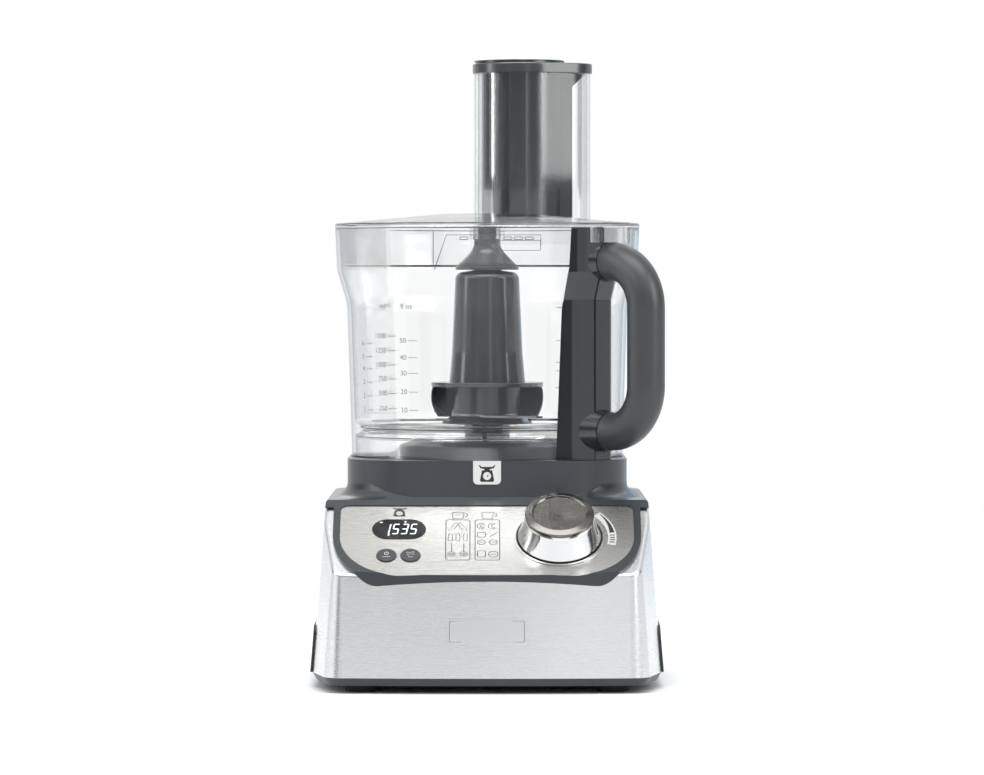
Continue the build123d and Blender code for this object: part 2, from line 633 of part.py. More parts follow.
def handle_spine():
    """Glossy upright moulding clipped to the bowl, with the sockets of the grip and the interlock channel."""
    low, bend, upper, top = 145.3, 249.0, 267.0, 295.5
    lower_plan, upper_plan = spine_plan(85, 108), spine_plan(93, 113.5)
    spine = prism(lower_plan, low, bend) + prism(upper_plan, upper, top)
    spine += loft([Pos(0, 0, bend) * lower_plan, Pos(0, 0, upper) * upper_plan])
    for z in (GRIP_TOP_Z, GRIP_BOTTOM_Z):
        spine += Pos(101.5, 0, z) * Rot(0, 90, 0) * Cone(GRIP_R + 3.0, GRIP_R + 0.6, 13, align=(
            Align.CENTER, Align.CENTER, Align.MIN))
    gap = 0.15
    spine -= turned((60, 140, 0), (BOWL_FOOT_R + gap, 140, 0), (BOWL_FOOT_R + gap, 144, 0),
                    (BOWL_BODY_R + gap, 246, 40), (99.7 + gap, BOWL_STEP_Z - 1, 14),
                    (BOWL_RIM_R + gap, 296, 0), (60, 296, 0))
    spine -= Pos(INTERLOCK_R, 0, 0) * rod(2.4, 140, 300)
    spine -= grip_path_solid(GRIP_R - 2.5 + 0.02)
    return HANDLE * spine


def grip_path():
    start = 108.0
    return FilletPolyline((start, 0, GRIP_TOP_Z), (GRIP_REACH, 0, GRIP_TOP_Z),
                          (GRIP_REACH, 0, GRIP_BOTTOM_Z), (start, 0, GRIP_BOTTOM_Z), radius=30)


def grip_path_solid(radius):
    path = grip_path()
    section = Plane(origin=path @ 0, z_dir=path % 0) * Circle(radius)
    return sweep(section, path)


def handle_grip():
    """Soft-touch D-shaped grip with reduced ends plugged into the spine's sockets."""
    grip = grip_path_solid(GRIP_R)
    reduced = ring(GRIP_R - 2.5, GRIP_R + 5, 0, 6.7)
    for z in (GRIP_TOP_Z, GRIP_BOTTOM_Z):
        grip -= Pos(108.0 - 0.1, 0, z) * Rot(0, 90, 0) * reduced
    return HANDLE * grip


def interlock_rod():
    """Push rod in the spine, from the lid's tab down to the base's plunger."""
    push = Pos(INTERLOCK_R, 0, 0) * rod(2.1, RIM_Z + 0.9, 296.2)
    return HANDLE * push


# ---------------------------------------------------------------- tool
def tool_hub():
    """Tall hub over the bowl's centre tube, with the round wing plate and its two swept paddles."""
    column = turned((25.2, 194.4, 0), (23.4, 214, 3), (21.1, 266.5, 5), (9.5, 268.3, 0), (9.5, 262.5, 0),
                    (17.9, 262.5, 2), (21.6, 194.0, 0), (21.0, 168.2, 0), (23.2, 168.2, 0), (23.2, 191.0, 0),
                    (37.0, 191.0, 0.5), (37.4, 194.0, 0.8), (25.2, 194.4, 0))
    drive = rod(12, 250, 263) - Pos(0, 0, 240) * extrude(RegularPolygon(6.2 + FIT, 6), 60)
    bridge = ring(9.4, 19.5, 260, 264.5)
    skirt = turned((21.0, 176.0, 0), (24.0, 176.0, 0), (24.0, 171.4, 0), (30.0, 167.6, 0), (30.0, 166.6, 0),
                   (21.0, 166.6, 0))
    hub = column + bridge + drive + skirt + paddle() + Rot(0, 0, 180) * paddle()
    for level, turn in KNIVES.values():
        hub -= knife_blank(level, turn)
    return AXIS * hub


def paddle():
    """One helical paddle under the wing plate."""
    levels = [(170.6, 0.0), (177.5, 15.0), (184.5, 30.0), (191.2, 45.0)]
    sections = [Pos(0, 0, z) * Rot(0, 0, turn + 150) * Pos(29.5, 0) * Rectangle(15.4, 2.6)
                for z, turn in levels]
    return loft(sections)


def tool_cap():
    """Bell-shaped cap on the hub whose post runs in the lid's centre bearing."""
    cap = turned((0, 268.6, 0), (21.0, 268.6, 0), (21.0, 270.4, 0.6), (10.6, 281.0, 9), (8.8, 285, 6),
                 (8.8, 299.0, 1.2), (0, 299.0, 0))
    return AXIS * (cap + rod(9.3, 266.0, 269.0))


KNIVES = {"knife_lower": (168.4, 20), "knife_upper": (172.0, 110)}


def knife_blank(level, turn):
    """Curved steel knife on the origin's axis: a hub ring and two scimitar arms."""
    ring_face = Circle(24.0) - Circle(22.2)
    arm = make_face((ThreePointArc((21, -8), (55, -20), (82, 4)) + Line((82, 4), (80.5, 9))
                     + ThreePointArc((80.5, 9), (52, -4), (21, 8)) + Line((21, 8), (21, -8))).edges())
    plan = ring_face + arm + Rot(0, 0, 180) * arm
    return Rot(0, 0, turn) * Pos(0, 0, level) * extrude(plan, 1.4)


def knife(name):
    return AXIS * knife_blank(*KNIVES[name])


# ---------------------------------------------------------------- lid and pushers
def tube_outline(inset=0.0):
    ends = [(Pos(x, 0) * Circle(r - inset)).edges() for x, r in (TUBE_BIG, TUBE_SMALL)]
    return Pos(0, TUBE_Y) * make_hull(ends[0] + ends[1])


def lid():
    """Clear lid with the feed tube moulded in, an inner skirt, a centre bearing and the locking tab."""
    crown = turned((0, 306.0, 0), (30, 305.6, 60), (92, 300.0, 20), (BOWL_RIM_R, LID_TOP_Z, 1.0),
                   (BOWL_RIM_R, BOWL_RIM_Z + 0.1, 0), (97.6, BOWL_RIM_Z + 0.1, 0),
                   (96.2, 272.6, 0), (94.0, 272.6, 0), (95.4, 296.8, 2), (92, 297.4, 0), (30, 303.0, 60),
                   (0, 303.4, 0))
    post = ring(9.2, 11.6, 289.0, 304.0)
    crown = AXIS * (crown + post)
    hood_outline = rounded((99.5, -15, 0), (HOOD_REACH, -14, 4), (HOOD_REACH, 14, 4), (99.5, 15, 0))
    hood = prism(hood_outline, HOOD_LOW_Z, LID_TOP_Z)
    hood -= prism(offset(hood_outline, amount=-1.6), 0, BOWL_RIM_Z + 0.1)
    hood -= block((0, HOOD_SPLIT), (-30, 30), (0, BOWL_RIM_Z + 0.1)) + rod(98, 290, 310)
    shell = crown + HANDLE * hood + prism(tube_outline(), 286.0, TUBE_TOP_Z)
    return shell - prism(tube_outline(TUBE_WALL), 280.0, TUBE_TOP_Z + 4)


def pusher_outline(inset=0.0):
    body = Pos(24.0, 0) * Circle(27.6 - inset)
    wing = Pos(24.0 + (33.0 - inset) / 2, 0) * Rectangle(33.0 - inset, 25.0 - 2 * inset)
    return Pos(0, TUBE_Y) * (body + wing)


PUSHER_BORE = (21.5, 17.0)   # centre x and radius of the inner pusher's bore


def pusher():
    """Large hollow pusher: body, flange over the tube's mouth and a gusset under it."""
    body = prism(pusher_outline(), 304.0, TUBE_TOP_Z + 0.5)
    flange = prism(tube_outline(-1.2), TUBE_TOP_Z + 0.3, FLANGE_TOP_Z)
    flange = fillet(flange.edges().group_by(Axis.Z)[-1], 1.0)
    gusset_side = Polyline((56.0, TUBE_TOP_Z + 0.4), (66.0, TUBE_TOP_Z + 0.4), (56.0, TUBE_TOP_Z - 9.6),
                           close=True)
    gusset = Pos(0, TUBE_Y + 5, 0) * extrude(Plane.XZ * make_face(gusset_side.edges()), 10)
    shell = body + flange + gusset
    hollow = prism(pusher_outline(2.2), 306.5, FLANGE_TOP_Z - 4)
    cx, bore = PUSHER_BORE
    core = Pos(cx, TUBE_Y, 0) * ring(bore, bore + 2.0, 304.0, FLANGE_TOP_Z)
    shell = shell - hollow + core
    return shell - Pos(cx, TUBE_Y, 0) * rod(bore, 290, 420)


def inner_pusher():
    """Slim pusher that slides in the large one."""
    cx, bore = PUSHER_BORE
    body = turned((0, 304.0, 0), (bore - 0.6, 304.0, 1.5), (bore - 0.6, FLANGE_TOP_Z + 0.3, 0),
                  (29.5, FLANGE_TOP_Z + 0.3, 0), (29.5, FLANGE_TOP_Z + 1.2, 0), (13.5, FLANGE_TOP_Z + 1.2, 0),
                  (13.5, 307.0, 0), (0, 307.0, 0))
    return Pos(cx, TUBE_Y, 0) * body


def pusher_cap():
    """Bright dished cap on the slim pusher."""
    low = FLANGE_TOP_Z + 1.2
    cap = turned((0, low, 0), (30.4, low, 0.4), (30.4, low + 0.8, 0.3), (17.5, TOP_Z, 3), (15.5, TOP_Z, 0.4),
                 (14.0, TOP_Z - 0.9, 0), (0, TOP_Z - 1.4, 0))
    return Pos(PUSHER_BORE[0], TUBE_Y, 0) * cap


# ---------------------------------------------------------------- assembly
def build():
    parts = {
        "base_tray": base_tray(), "steel_skin": steel_skin(), "upper_housing": upper_housing(),
        "rear_cover": rear_cover(), "side_trim_right": side_trim(), "side_trim_left": mirrored(side_trim()),
        "nameplate": nameplate(), "scale_badge": scale_badge(), "control_panel": control_panel(),
        "display_lens": display_lens(), "display_module": display_module(), "control_board": control_board(),
        "dial_knob": dial_knob(), "dial_cap": dial_cap(), "dial_shaft": dial_shaft(), "dial_seal": dial_seal(),
        "dial_switch": dial_switch(), "load_cells": load_cells(), "chassis_plate": chassis_plate(),
        "chassis_screws": chassis_screws(), "motor_stator": motor_stator(), "motor_frame": motor_frame(),
        "motor_rotor": motor_rotor(), "cooling_fan": cooling_fan(), "carbon_brushes": carbon_brushes(),
        "housing_screws": housing_screws(), "motor_pulley": motor_pulley(), "drive_belt": drive_belt(),
        "driven_pulley": driven_pulley(), "spindle": spindle(), "lower_bearing": bearing(CHASSIS_Z + 3),
        "upper_bearing": bearing(148.0), "spindle_seal": spindle_seal(), "drive_shaft": drive_shaft(),
        "interlock_plunger": interlock_plunger(), "interlock_switch": interlock_switch(),
        "cord_gland": cord_gland(), "bowl": bowl(), "handle_spine": handle_spine(),
        "handle_grip": handle_grip(), "interlock_rod": interlock_rod(), "tool_hub": tool_hub(),
        "tool_cap": tool_cap(), "knife_lower": knife("knife_lower"), "knife_upper": knife("knife_upper"),
        "lid": lid(), "pusher": pusher(), "inner_pusher": inner_pusher(), "pusher_cap": pusher_cap(),
    }
    for name, place in FOOT_PLACES.items():
        parts[name] = foot(place)
    for name, place in BUTTON_AT.items():
        parts[name] = button(place)
    return parts


if __name__ == "__main__":
    os.makedirs("parts", exist_ok=True)
    for name, shape in build().items():
        export_step(shape, f"parts/{name}.step")
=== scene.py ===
from math import cos, pi, radians, sin

import bpy
from mathutils import Matrix, Vector


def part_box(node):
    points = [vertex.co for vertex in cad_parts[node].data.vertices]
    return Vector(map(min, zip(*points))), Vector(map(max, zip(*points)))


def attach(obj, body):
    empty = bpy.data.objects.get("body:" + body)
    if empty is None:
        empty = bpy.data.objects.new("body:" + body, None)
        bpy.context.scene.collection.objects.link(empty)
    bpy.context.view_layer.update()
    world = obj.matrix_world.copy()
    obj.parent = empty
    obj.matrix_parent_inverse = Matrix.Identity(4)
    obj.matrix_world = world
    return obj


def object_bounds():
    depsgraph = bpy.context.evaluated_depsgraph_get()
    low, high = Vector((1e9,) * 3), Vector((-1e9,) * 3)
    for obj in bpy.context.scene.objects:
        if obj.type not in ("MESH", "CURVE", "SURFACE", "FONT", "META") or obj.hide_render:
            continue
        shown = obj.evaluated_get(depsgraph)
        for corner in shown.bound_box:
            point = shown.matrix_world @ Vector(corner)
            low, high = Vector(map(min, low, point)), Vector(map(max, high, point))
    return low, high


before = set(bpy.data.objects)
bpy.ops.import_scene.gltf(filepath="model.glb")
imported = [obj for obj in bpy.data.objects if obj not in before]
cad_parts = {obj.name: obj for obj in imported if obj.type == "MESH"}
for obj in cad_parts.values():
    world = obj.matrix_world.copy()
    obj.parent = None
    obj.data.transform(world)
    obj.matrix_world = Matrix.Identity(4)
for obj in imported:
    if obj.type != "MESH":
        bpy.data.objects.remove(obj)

cad_box = [list(corner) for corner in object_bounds()]

# ---- Studio: a pale round floor inside a white dome, with soft lamps overhead, at both sides and behind.
# Upright cards that only reflections show give the steel, chrome and gloss their light and dark bands:
# low black ones for the steel's corners, and high dusk ones with two bright ones for the feed tube.
FLOOR_RADIUS = 2.2
DOME_RADIUS = 14.0


class Signal:
    """A socket in a node tree. Arithmetic on signals adds Math nodes, and node() adds any other node."""

    def __init__(self, tree, socket=None):
        self.tree = tree
        self.socket = socket

    def node(self, kind, settings=None, values=None, out=0):
        made = self.tree.nodes.new("ShaderNode" + kind)
        for name, value in (settings or {}).items():
            if name == "stops":
                ramp = made.color_ramp.elements
                while len(ramp) < len(value):
                    ramp.new(0.5)
                for stop, (place, colour) in zip(ramp, value):
                    stop.position = place
                    stop.color = (*(colour if isinstance(colour, tuple) else (colour,) * 3), 1.0)
            else:
                setattr(made, name, value)
        for name, value in (values or {}).items():
            if isinstance(value, Signal):
                self.tree.links.new(value.socket, made.inputs[name])
            else:
                made.inputs[name].default_value = value
        return Signal(self.tree, made.outputs[out] if made.outputs else None)

    def maths(self, operation, first, second):
        return self.node("Math", {"operation": operation}, {0: first, 1: second})

    def __add__(self, other):
        return self.maths("ADD", self, other)

    def __radd__(self, other):
        return self.maths("ADD", other, self)

    def __mul__(self, other):
        return self.maths("MULTIPLY", self, other)

    def __rmul__(self, other):
        return self.maths("MULTIPLY", other, self)

    def __pow__(self, other):
        return self.maths("POWER", self, other)


def new_material(name):
    """An empty material, and a signal with no socket that its nodes are added from."""
    material = bpy.data.materials.new(name)
    material.use_nodes = True
    material.node_tree.nodes.clear()
    return material, Signal(material.node_tree)


def show(material, shader):
    """Makes shader the material's surface."""
    shader.node("OutputMaterial", values={"Surface": shader})
    return material


def glow(name, colour, strength):
    """A surface that gives light of its own."""
    material, start = new_material(name)
    return show(material, start.node("Emission", values={"Color": (*colour, 1.0), "Strength": strength}))


def floor_material():
    """Pale matt sweep with a very faint mottle."""
    material, start = new_material("studio_floor")
    place = start.node("TexCoord", out=3)
    mottle = start.node("TexNoise", values={"Vector": place, "Scale": 3.0, "Detail": 2.0})
    tone = start.node("ValToRGB", {"stops": [(0.3, 0.88), (0.7, 0.9)]}, {"Fac": mottle})
    return show(material, start.node("BsdfPrincipled", values={"Base Color": tone, "Roughness": 0.6}))


def finished(name=None):
    """The active object, with its turn, size and place moved into its mesh."""
    bpy.ops.object.transform_apply(location=True, rotation=True, scale=True)
    made = bpy.context.active_object
    made.name = name or made.name
    return made


def card(name, azimuth, distance, width, low, high, material):
    """Upright card that faces the machine. Azimuth 0 is behind the camera, and 90 is to the right."""
    turn = radians(azimuth)
    bpy.ops.mesh.primitive_grid_add(
        x_subdivisions=2, y_subdivisions=2, size=1.0, rotation=(pi / 2, 0, turn),
        location=(distance * sin(turn), -distance * cos(turn), (low + high) / 2))
    made = bpy.context.active_object
    made.scale = (width, high - low, 1)
    made = finished(name)
    made.data.materials.append(material)
    made.visible_camera = made.visible_diffuse = made.visible_shadow = made.visible_transmission = False


bpy.ops.object.select_all(action="DESELECT")
bpy.ops.mesh.primitive_circle_add(vertices=96, radius=FLOOR_RADIUS, fill_type="TRIFAN")
studio_floor = finished("studio_floor")
studio_floor.data.materials.append(floor_material())
bpy.ops.mesh.primitive_uv_sphere_add(segments=48, ring_count=24, radius=DOME_RADIUS)
dome = finished("studio_dome")
dome.data.materials.append(glow("dome_white", (1, 1, 1), 1.0))
dome.visible_diffuse = dome.visible_shadow = dome.visible_transmission = False

black_card = glow("black_card", (0.01, 0.01, 0.012), 1.0)
grey_card = glow("grey_card", (0.7, 0.72, 0.74), 1.0)
dusk_card = glow("dusk_card", (0.1, 0.105, 0.11), 1.0)
blue_card = glow("blue_card", (0.55, 0.76, 0.93), 1.0)
bright_card = glow("bright_card", (1, 1, 1), 6.0)
side_card = glow("side_card", (1, 1, 1), 4.5)
front_card = glow("front_card", (1, 1, 1), 1.35)
CARD_RING, CARD_TOP = 2.3, 2.6          # distance of most cards from the machine, and their top edge
STEEL_TOP = 0.37                        # the steel reflects what is below this, and the feed tube what is above
BRIGHT_RING, BRIGHT_LOW, BRIGHT_TOP = 2.1, 0.38, 1.9
card("card_front_right", 10, CARD_RING, 0.22, 0.0, 2.4, front_card)
for azimuth in (-104, -56, -8, 40, 88):
    card(f"dusk_{azimuth}", azimuth, 2.35, 2.0, STEEL_TOP, 1.2, dusk_card)
card("flag_left", -46, 2.2, 0.9, 0.0, STEEL_TOP, black_card)
card("flag_right", 62, 2.2, 0.9, 0.0, STEEL_TOP, black_card)
card("flag_side", 98, CARD_RING, 0.6, 0.36, CARD_TOP, black_card)
card("card_right", 58, BRIGHT_RING, 0.75, BRIGHT_LOW, BRIGHT_TOP, bright_card)
card("card_left", -83, BRIGHT_RING, 0.45, BRIGHT_LOW, BRIGHT_TOP, side_card)
card("grey_left", -132, CARD_RING, 0.7, 0.0, CARD_TOP, grey_card)
card("grey_right", 128, CARD_RING, 0.8, 0.0, CARD_TOP, grey_card)
card("card_right_blue", 162, CARD_RING, 1.0, 0.0, 2.4, blue_card)

world = bpy.data.worlds.new("studio_air")
bpy.context.scene.world = world
world.use_nodes = True
air = world.node_tree.nodes["Background"]
air.inputs["Color"].default_value = (0.95, 0.97, 1.0, 1.0)
air.inputs["Strength"].default_value = 0.72


def soft_lamp(name, place, target, size, power):
    """Rectangular lamp of a power in watts, turned towards the target."""
    bpy.ops.object.light_add(type="AREA", location=place)
    lamp = bpy.context.active_object
    lamp.name = name
    lamp.data.shape = "RECTANGLE"
    lamp.data.size, lamp.data.size_y = size
    lamp.data.energy = power
    lamp.rotation_euler = (Vector(target) - Vector(place)).to_track_quat("-Z", "Y").to_euler()


middle = ((Vector(cad_box[0]) + Vector(cad_box[1])) / 2)[:]
soft_lamp("lamp_overhead", (-0.2, -0.9, 3.0), middle, (3.0, 1.6), 70)
soft_lamp("lamp_left", (-1.9, -1.3, 1.2), middle, (1.1, 1.8), 16)
soft_lamp("lamp_right", (1.9, -0.9, 1.2), middle, (0.9, 1.8), 10)
soft_lamp("lamp_rear", (0.3, 2.3, 1.6), middle, (2.4, 1.4), 22)

CAMERA_DISTANCE = 3.128     # from the drive axis
CAMERA_HEIGHT = 0.2584
CAMERA_SIDE = 0.0032        # to the right of the drive axis
CAMERA_DIP = 1.245          # degrees below level
drive_low, drive_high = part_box("spindle")
AXIS_Y = (drive_low[1] + drive_high[1]) / 2
bpy.ops.object.camera_add(location=(CAMERA_SIDE, AXIS_Y - CAMERA_DISTANCE, CAMERA_HEIGHT),
                          rotation=(radians(90 - CAMERA_DIP), 0, 0))
camera = bpy.context.active_object
camera.data.lens = 172.2
camera.data.sensor_width = 36.0
camera.data.clip_end = 60.0
bpy.context.scene.camera = camera
bpy.context.scene.view_settings.view_transform = "Standard"
bpy.context.scene.cycles.transparent_max_bounces = 40

# ---- Bottom cover and its screws: a shallow moulded pan with slots for air, posts and foot pockets.
# Slate grey polymer with a spark-eroded grain. Steel screws run up through it into the housing's posts.


def dress(material, *nodes):
    """Gives CAD nodes their finish."""
    for node in nodes:
        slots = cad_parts[node].material_slots
        for slot in slots:
            slot.material = material
        if not slots:
            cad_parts[node].data.materials.append(material)


def moulded(name, colour, roughness, grain, depth, coat=0.0, level=0.5):
    """Moulded plastic: even colour with a little drift, faint flow marks and a fine pebble grain."""
    material, start = new_material(name)
    place = start.node("TexCoord", out=3)
    pebble = start.node("TexNoise", values={"Vector": place, "Scale": grain, "Detail": 2.0, "Roughness": 0.5})
    drift = start.node("TexNoise", values={"Vector": place, "Scale": 14.0, "Detail": 3.0})
    tone = start.node("ValToRGB", {"stops": [(0.25, tuple(c * 0.92 for c in colour)), (0.75, colour)]},
                      {"Fac": drift})
    bump = start.node("Bump", values={"Strength": 0.3, "Distance": depth, "Height": pebble})
    return show(material, start.node("BsdfPrincipled", values={
        "Base Color": tone, "Roughness": roughness - 0.04 + drift * 0.08, "Normal": bump,
        "Coat Weight": coat, "Coat Roughness": 0.06, "Specular IOR Level": level}))


def brushed(name, colour, stretch, roughness, depth):
    """Brushed metal: streaks of noise drawn out along one axis, in tone, roughness and height."""
    material, start = new_material(name)
    place = start.node("TexCoord", out=3)
    drawn = start.node("Mapping", values={"Vector": place, "Scale": stretch})
    fine = start.node("TexNoise", values={"Vector": drawn, "Scale": 3600.0, "Detail": 2.0, "Roughness": 0.6})
    broad = start.node("TexNoise", values={"Vector": drawn, "Scale": 800.0, "Detail": 2.0})
    smear = start.node("TexNoise", values={"Vector": place, "Scale": 9.0, "Detail": 3.0})
    tone = start.node("ValToRGB", {"stops": [(0.2, tuple(c * 0.93 for c in colour)), (0.8, colour)]},
                      {"Fac": fine * 0.6 + broad * 0.4})
    rough = roughness - 0.04 + fine * 0.05 + smear * 0.04
    bump = start.node("Bump", values={"Strength": 0.1, "Distance": depth, "Height": fine})
    return show(material, start.node("BsdfPrincipled", values={
        "Base Color": tone, "Metallic": 1.0, "Roughness": rough, "Normal": bump}))


tray_plastic = moulded("slate_tray", (0.026, 0.030, 0.035), 0.4, 2200.0, 0.00004)
zinc_steel = brushed("zinc_steel", (0.62, 0.62, 0.6), (1, 1, 0.2), 0.36, 0.00001)
dress(tray_plastic, "base_tray")
dress(zinc_steel, "housing_screws")

# ---- Feet: four rubber pads with a stem pulled through the bottom cover.
# Black nitrile rubber with a matt, slightly dusty skin.


def rubber(name, colour):
    """Rubber: matt, with fine pits and a pale bloom in patches."""
    material, start = new_material(name)
    place = start.node("TexCoord", out=3)
    pits = start.node("TexVoronoi", values={"Vector": place, "Scale": 1600.0})
    bloom = start.node("TexNoise", values={"Vector": place, "Scale": 60.0, "Detail": 4.0})
    tone = start.node("ValToRGB", {"stops": [(0.35, colour), (0.8, tuple(c * 1.8 for c in colour))]},
                      {"Fac": bloom})
    bump = start.node("Bump", values={"Strength": 0.3, "Distance": 0.00003, "Height": pits})
    return show(material, start.node("BsdfPrincipled", values={
        "Base Color": tone, "Roughness": 0.58 + bloom * 0.2, "Normal": bump}))


foot_rubber = rubber("foot_rubber", (0.012, 0.012, 0.013))
dress(foot_rubber, "foot_front_left", "foot_front_right", "foot_rear_left", "foot_rear_right")

# ---- Load cells of the scale: a machined bending beam with its strain gauge over each foot.
# Aluminium with milling marks, under a dab of clear varnish.
milled_alloy = brushed("milled_alloy", (0.72, 0.73, 0.74), (0.1, 1, 1), 0.3, 0.00002)
dress(milled_alloy, "load_cells")

# ---- Chassis: a zinc-plated plate on the bottom cover's posts that carries the motor and the lower bearing.
# Pressed sheet with a faint spangle, held by four machine screws.


def plated(name, colour, spangle):
    """Zinc-plated sheet: large soft crystals that differ in tone and gloss."""
    material, start = new_material(name)
    place = start.node("TexCoord", out=3)
    crystal = start.node("TexVoronoi", values={"Vector": place, "Scale": spangle}, out=1)
    grey = start.node("RGBToBW", values={"Color": crystal})
    tone = start.node("ValToRGB", {"stops": [(0.0, tuple(c * 0.8 for c in colour)), (1.0, colour)]},
                      {"Fac": grey})
    haze = start.node("TexNoise", values={"Vector": place, "Scale": 40.0, "Detail": 3.0})
    return show(material, start.node("BsdfPrincipled", values={
        "Base Color": tone, "Metallic": 1.0, "Roughness": 0.3 + grey * 0.12 + haze * 0.06}))


chassis_zinc = plated("chassis_zinc", (0.66, 0.67, 0.68), 120.0)
dress(chassis_zinc, "chassis_plate", "motor_frame")
dress(zinc_steel, "chassis_screws")

# ---- Motor: laminated field core with its copper coils, rotor with windings, two carbon brushes and a fan.
# It hangs under the chassis plate behind the front wall and drives the small pulley.


def laminated(name, colour, pitch):
    """Stacked sheets: fine dark joints across the stack."""
    material, start = new_material(name)
    place = start.node("TexCoord", out=3)
    sheets = start.node("TexWave", {"wave_type": "BANDS", "bands_direction": "Z", "wave_profile": "SIN"},
                        {"Vector": place, "Scale": pitch, "Distortion": 0.3}, out=1)
    varnish = start.node("TexNoise", values={"Vector": place, "Scale": 70.0, "Detail": 4.0})
    tone = start.node("ValToRGB", {"stops": [(0.1, tuple(c * 0.35 for c in colour)), (0.5, colour)]},
                      {"Fac": sheets * 0.8 + varnish * 0.2})
    bump = start.node("Bump", values={"Strength": 0.4, "Distance": 0.00005, "Height": sheets})
    return show(material, start.node("BsdfPrincipled", values={
        "Base Color": tone, "Metallic": 0.7, "Roughness": 0.42 + varnish * 0.15, "Normal": bump}))


stator_iron = laminated("stator_iron", (0.34, 0.33, 0.33), 300.0)
rotor_copper = laminated("rotor_copper", (0.62, 0.3, 0.14), 260.0)
brush_carbon = moulded("brush_carbon", (0.02, 0.02, 0.021), 0.5, 3000.0, 0.00002)
fan_plastic = moulded("fan_plastic", (0.03, 0.03, 0.032), 0.38, 2000.0, 0.00002)
dress(stator_iron, "motor_stator")
dress(rotor_copper, "motor_rotor")
dress(brush_carbon, "carbon_brushes")
dress(fan_plastic, "cooling_fan")

# ---- Belt drive: a small pulley on the motor, a ribbed rubber belt and a large pulley on the spindle.
# The pulleys are turned aluminium, and the belt's back shows its cord.


def turned_alloy(name, colour, centre):
    """Turned metal: fine rings round an upright axis, from the tool's feed."""
    material, start = new_material(name)
    place = start.node("TexCoord", out=3)
    about = start.node("Mapping", values={"Vector": place, "Location": (-centre[0], -centre[1], 0)})
    rings = start.node("TexWave", {"wave_type": "RINGS", "rings_direction": "Z", "wave_profile": "SAW"},
                       {"Vector": about, "Scale": 400.0, "Distortion": 0.2}, out=1)
    haze = start.node("TexNoise", values={"Vector": place, "Scale": 50.0, "Detail": 3.0})
    tone = start.node("ValToRGB", {"stops": [(0.0, tuple(c * 0.86 for c in colour)), (1.0, colour)]},
                      {"Fac": rings * 0.5 + haze * 0.5})
    bump = start.node("Bump", values={"Strength": 0.2, "Distance": 0.00002, "Height": rings})
    return show(material, start.node("BsdfPrincipled", values={
        "Base Color": tone, "Metallic": 1.0, "Roughness": 0.24 + haze * 0.12, "Normal": bump}))


motor_low, motor_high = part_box("motor_pulley")
motor_axis = ((motor_low[0] + motor_high[0]) / 2, (motor_low[1] + motor_high[1]) / 2)
dress(turned_alloy("small_pulley_alloy", (0.7, 0.7, 0.7), motor_axis), "motor_pulley")
dress(turned_alloy("large_pulley_alloy", (0.7, 0.7, 0.7), (0, AXIS_Y)), "driven_pulley")
dress(rubber("belt_rubber", (0.015, 0.015, 0.015)), "drive_belt")

# ---- Spindle: a ground steel shaft in two ball bearings, with a lip seal under the deck's outlet.
# The bearings press into the chassis plate and the housing.
ground_steel = turned_alloy("ground_steel", (0.7, 0.71, 0.72), (0, AXIS_Y))
dress(ground_steel, "spindle")
dress(turned_alloy("bearing_steel", (0.62, 0.62, 0.63), (0, AXIS_Y)), "lower_bearing", "upper_bearing")
dress(rubber("seal_rubber", (0.014, 0.014, 0.015)), "spindle_seal")

# ---- Main board and display board: fibreglass boards with parts, behind the control panel.
# Green solder mask with copper tracks showing through.


def circuit_board(name):
    """Solder mask with a lattice of paler tracks and dark parts."""
    material, start = new_material(name)
    place = start.node("TexCoord", out=3)
    tracks = start.node("TexBrick", {"offset": 0.37}, {
        "Vector": place, "Scale": 260.0, "Mortar Size": 0.06, "Color1": (0.01, 0.07, 0.03, 1),
        "Color2": (0.012, 0.085, 0.035, 1), "Mortar": (0.05, 0.2, 0.07, 1)})
    haze = start.node("TexNoise", values={"Vector": place, "Scale": 80.0, "Detail": 2.0})
    return show(material, start.node("BsdfPrincipled", values={
        "Base Color": tracks, "Roughness": 0.3 + haze * 0.1}))


dress(circuit_board("circuit_board"), "control_board", "display_module")

# ---- Switches: the dial's rotary switch and the interlock's microswitch.
# Black glass-filled polymer with a coarse grain.
switch_plastic = moulded("switch_plastic", (0.014, 0.014, 0.015), 0.45, 1400.0, 0.00005)
dress(switch_plastic, "dial_switch", "interlock_switch")

# ---- Steel wrap: thin stainless sheet, brushed along its length, bent round the front and both sides
# and turned over the slope's lower corners. It clips to the bottom cover's flange.
wrap_steel = brushed("wrap_steel", (0.72, 0.73, 0.735), (0.02, 0.02, 1.0), 0.27, 0.000001)
dress(wrap_steel, "steel_skin")

# ---- Side guards: black moulded bands low on both sides, where hands lift the machine.
# Grained polypropylene, clipped through slots in the wrap.
guard_plastic = moulded("guard_plastic", (0.006, 0.006, 0.007), 0.5, 1800.0, 0.00006)
dress(guard_plastic, "side_trim_left", "side_trim_right")

# ---- Upper housing and rear wall: shoulder, collar, bezel and deck in one moulding, and the slotted rear wall.
# Slate grey ABS with a satin skin. The screws come up from below.
housing_plastic = moulded("slate_housing", (0.029, 0.033, 0.038), 0.3, 2600.0, 0.00002)
dress(housing_plastic, "upper_housing")
dress(tray_plastic, "rear_cover")
dress(rubber("gland_rubber", (0.012, 0.012, 0.012)), "cord_gland")

# ---- Front plate: a blank stainless plate let into the wrap, with a pressed border just inside its edge.
# It is brushed along its length, and stuck down with tape.


def made_mesh(name, data):
    """Turns a curve or text into a mesh object, with nothing else selected."""
    piece = bpy.data.objects.new(name, data)
    bpy.context.collection.objects.link(piece)
    bpy.ops.object.select_all(action="DESELECT")
    piece.select_set(True)
    bpy.context.view_layer.objects.active = piece
    bpy.ops.object.convert(target="MESH")
    return bpy.context.active_object


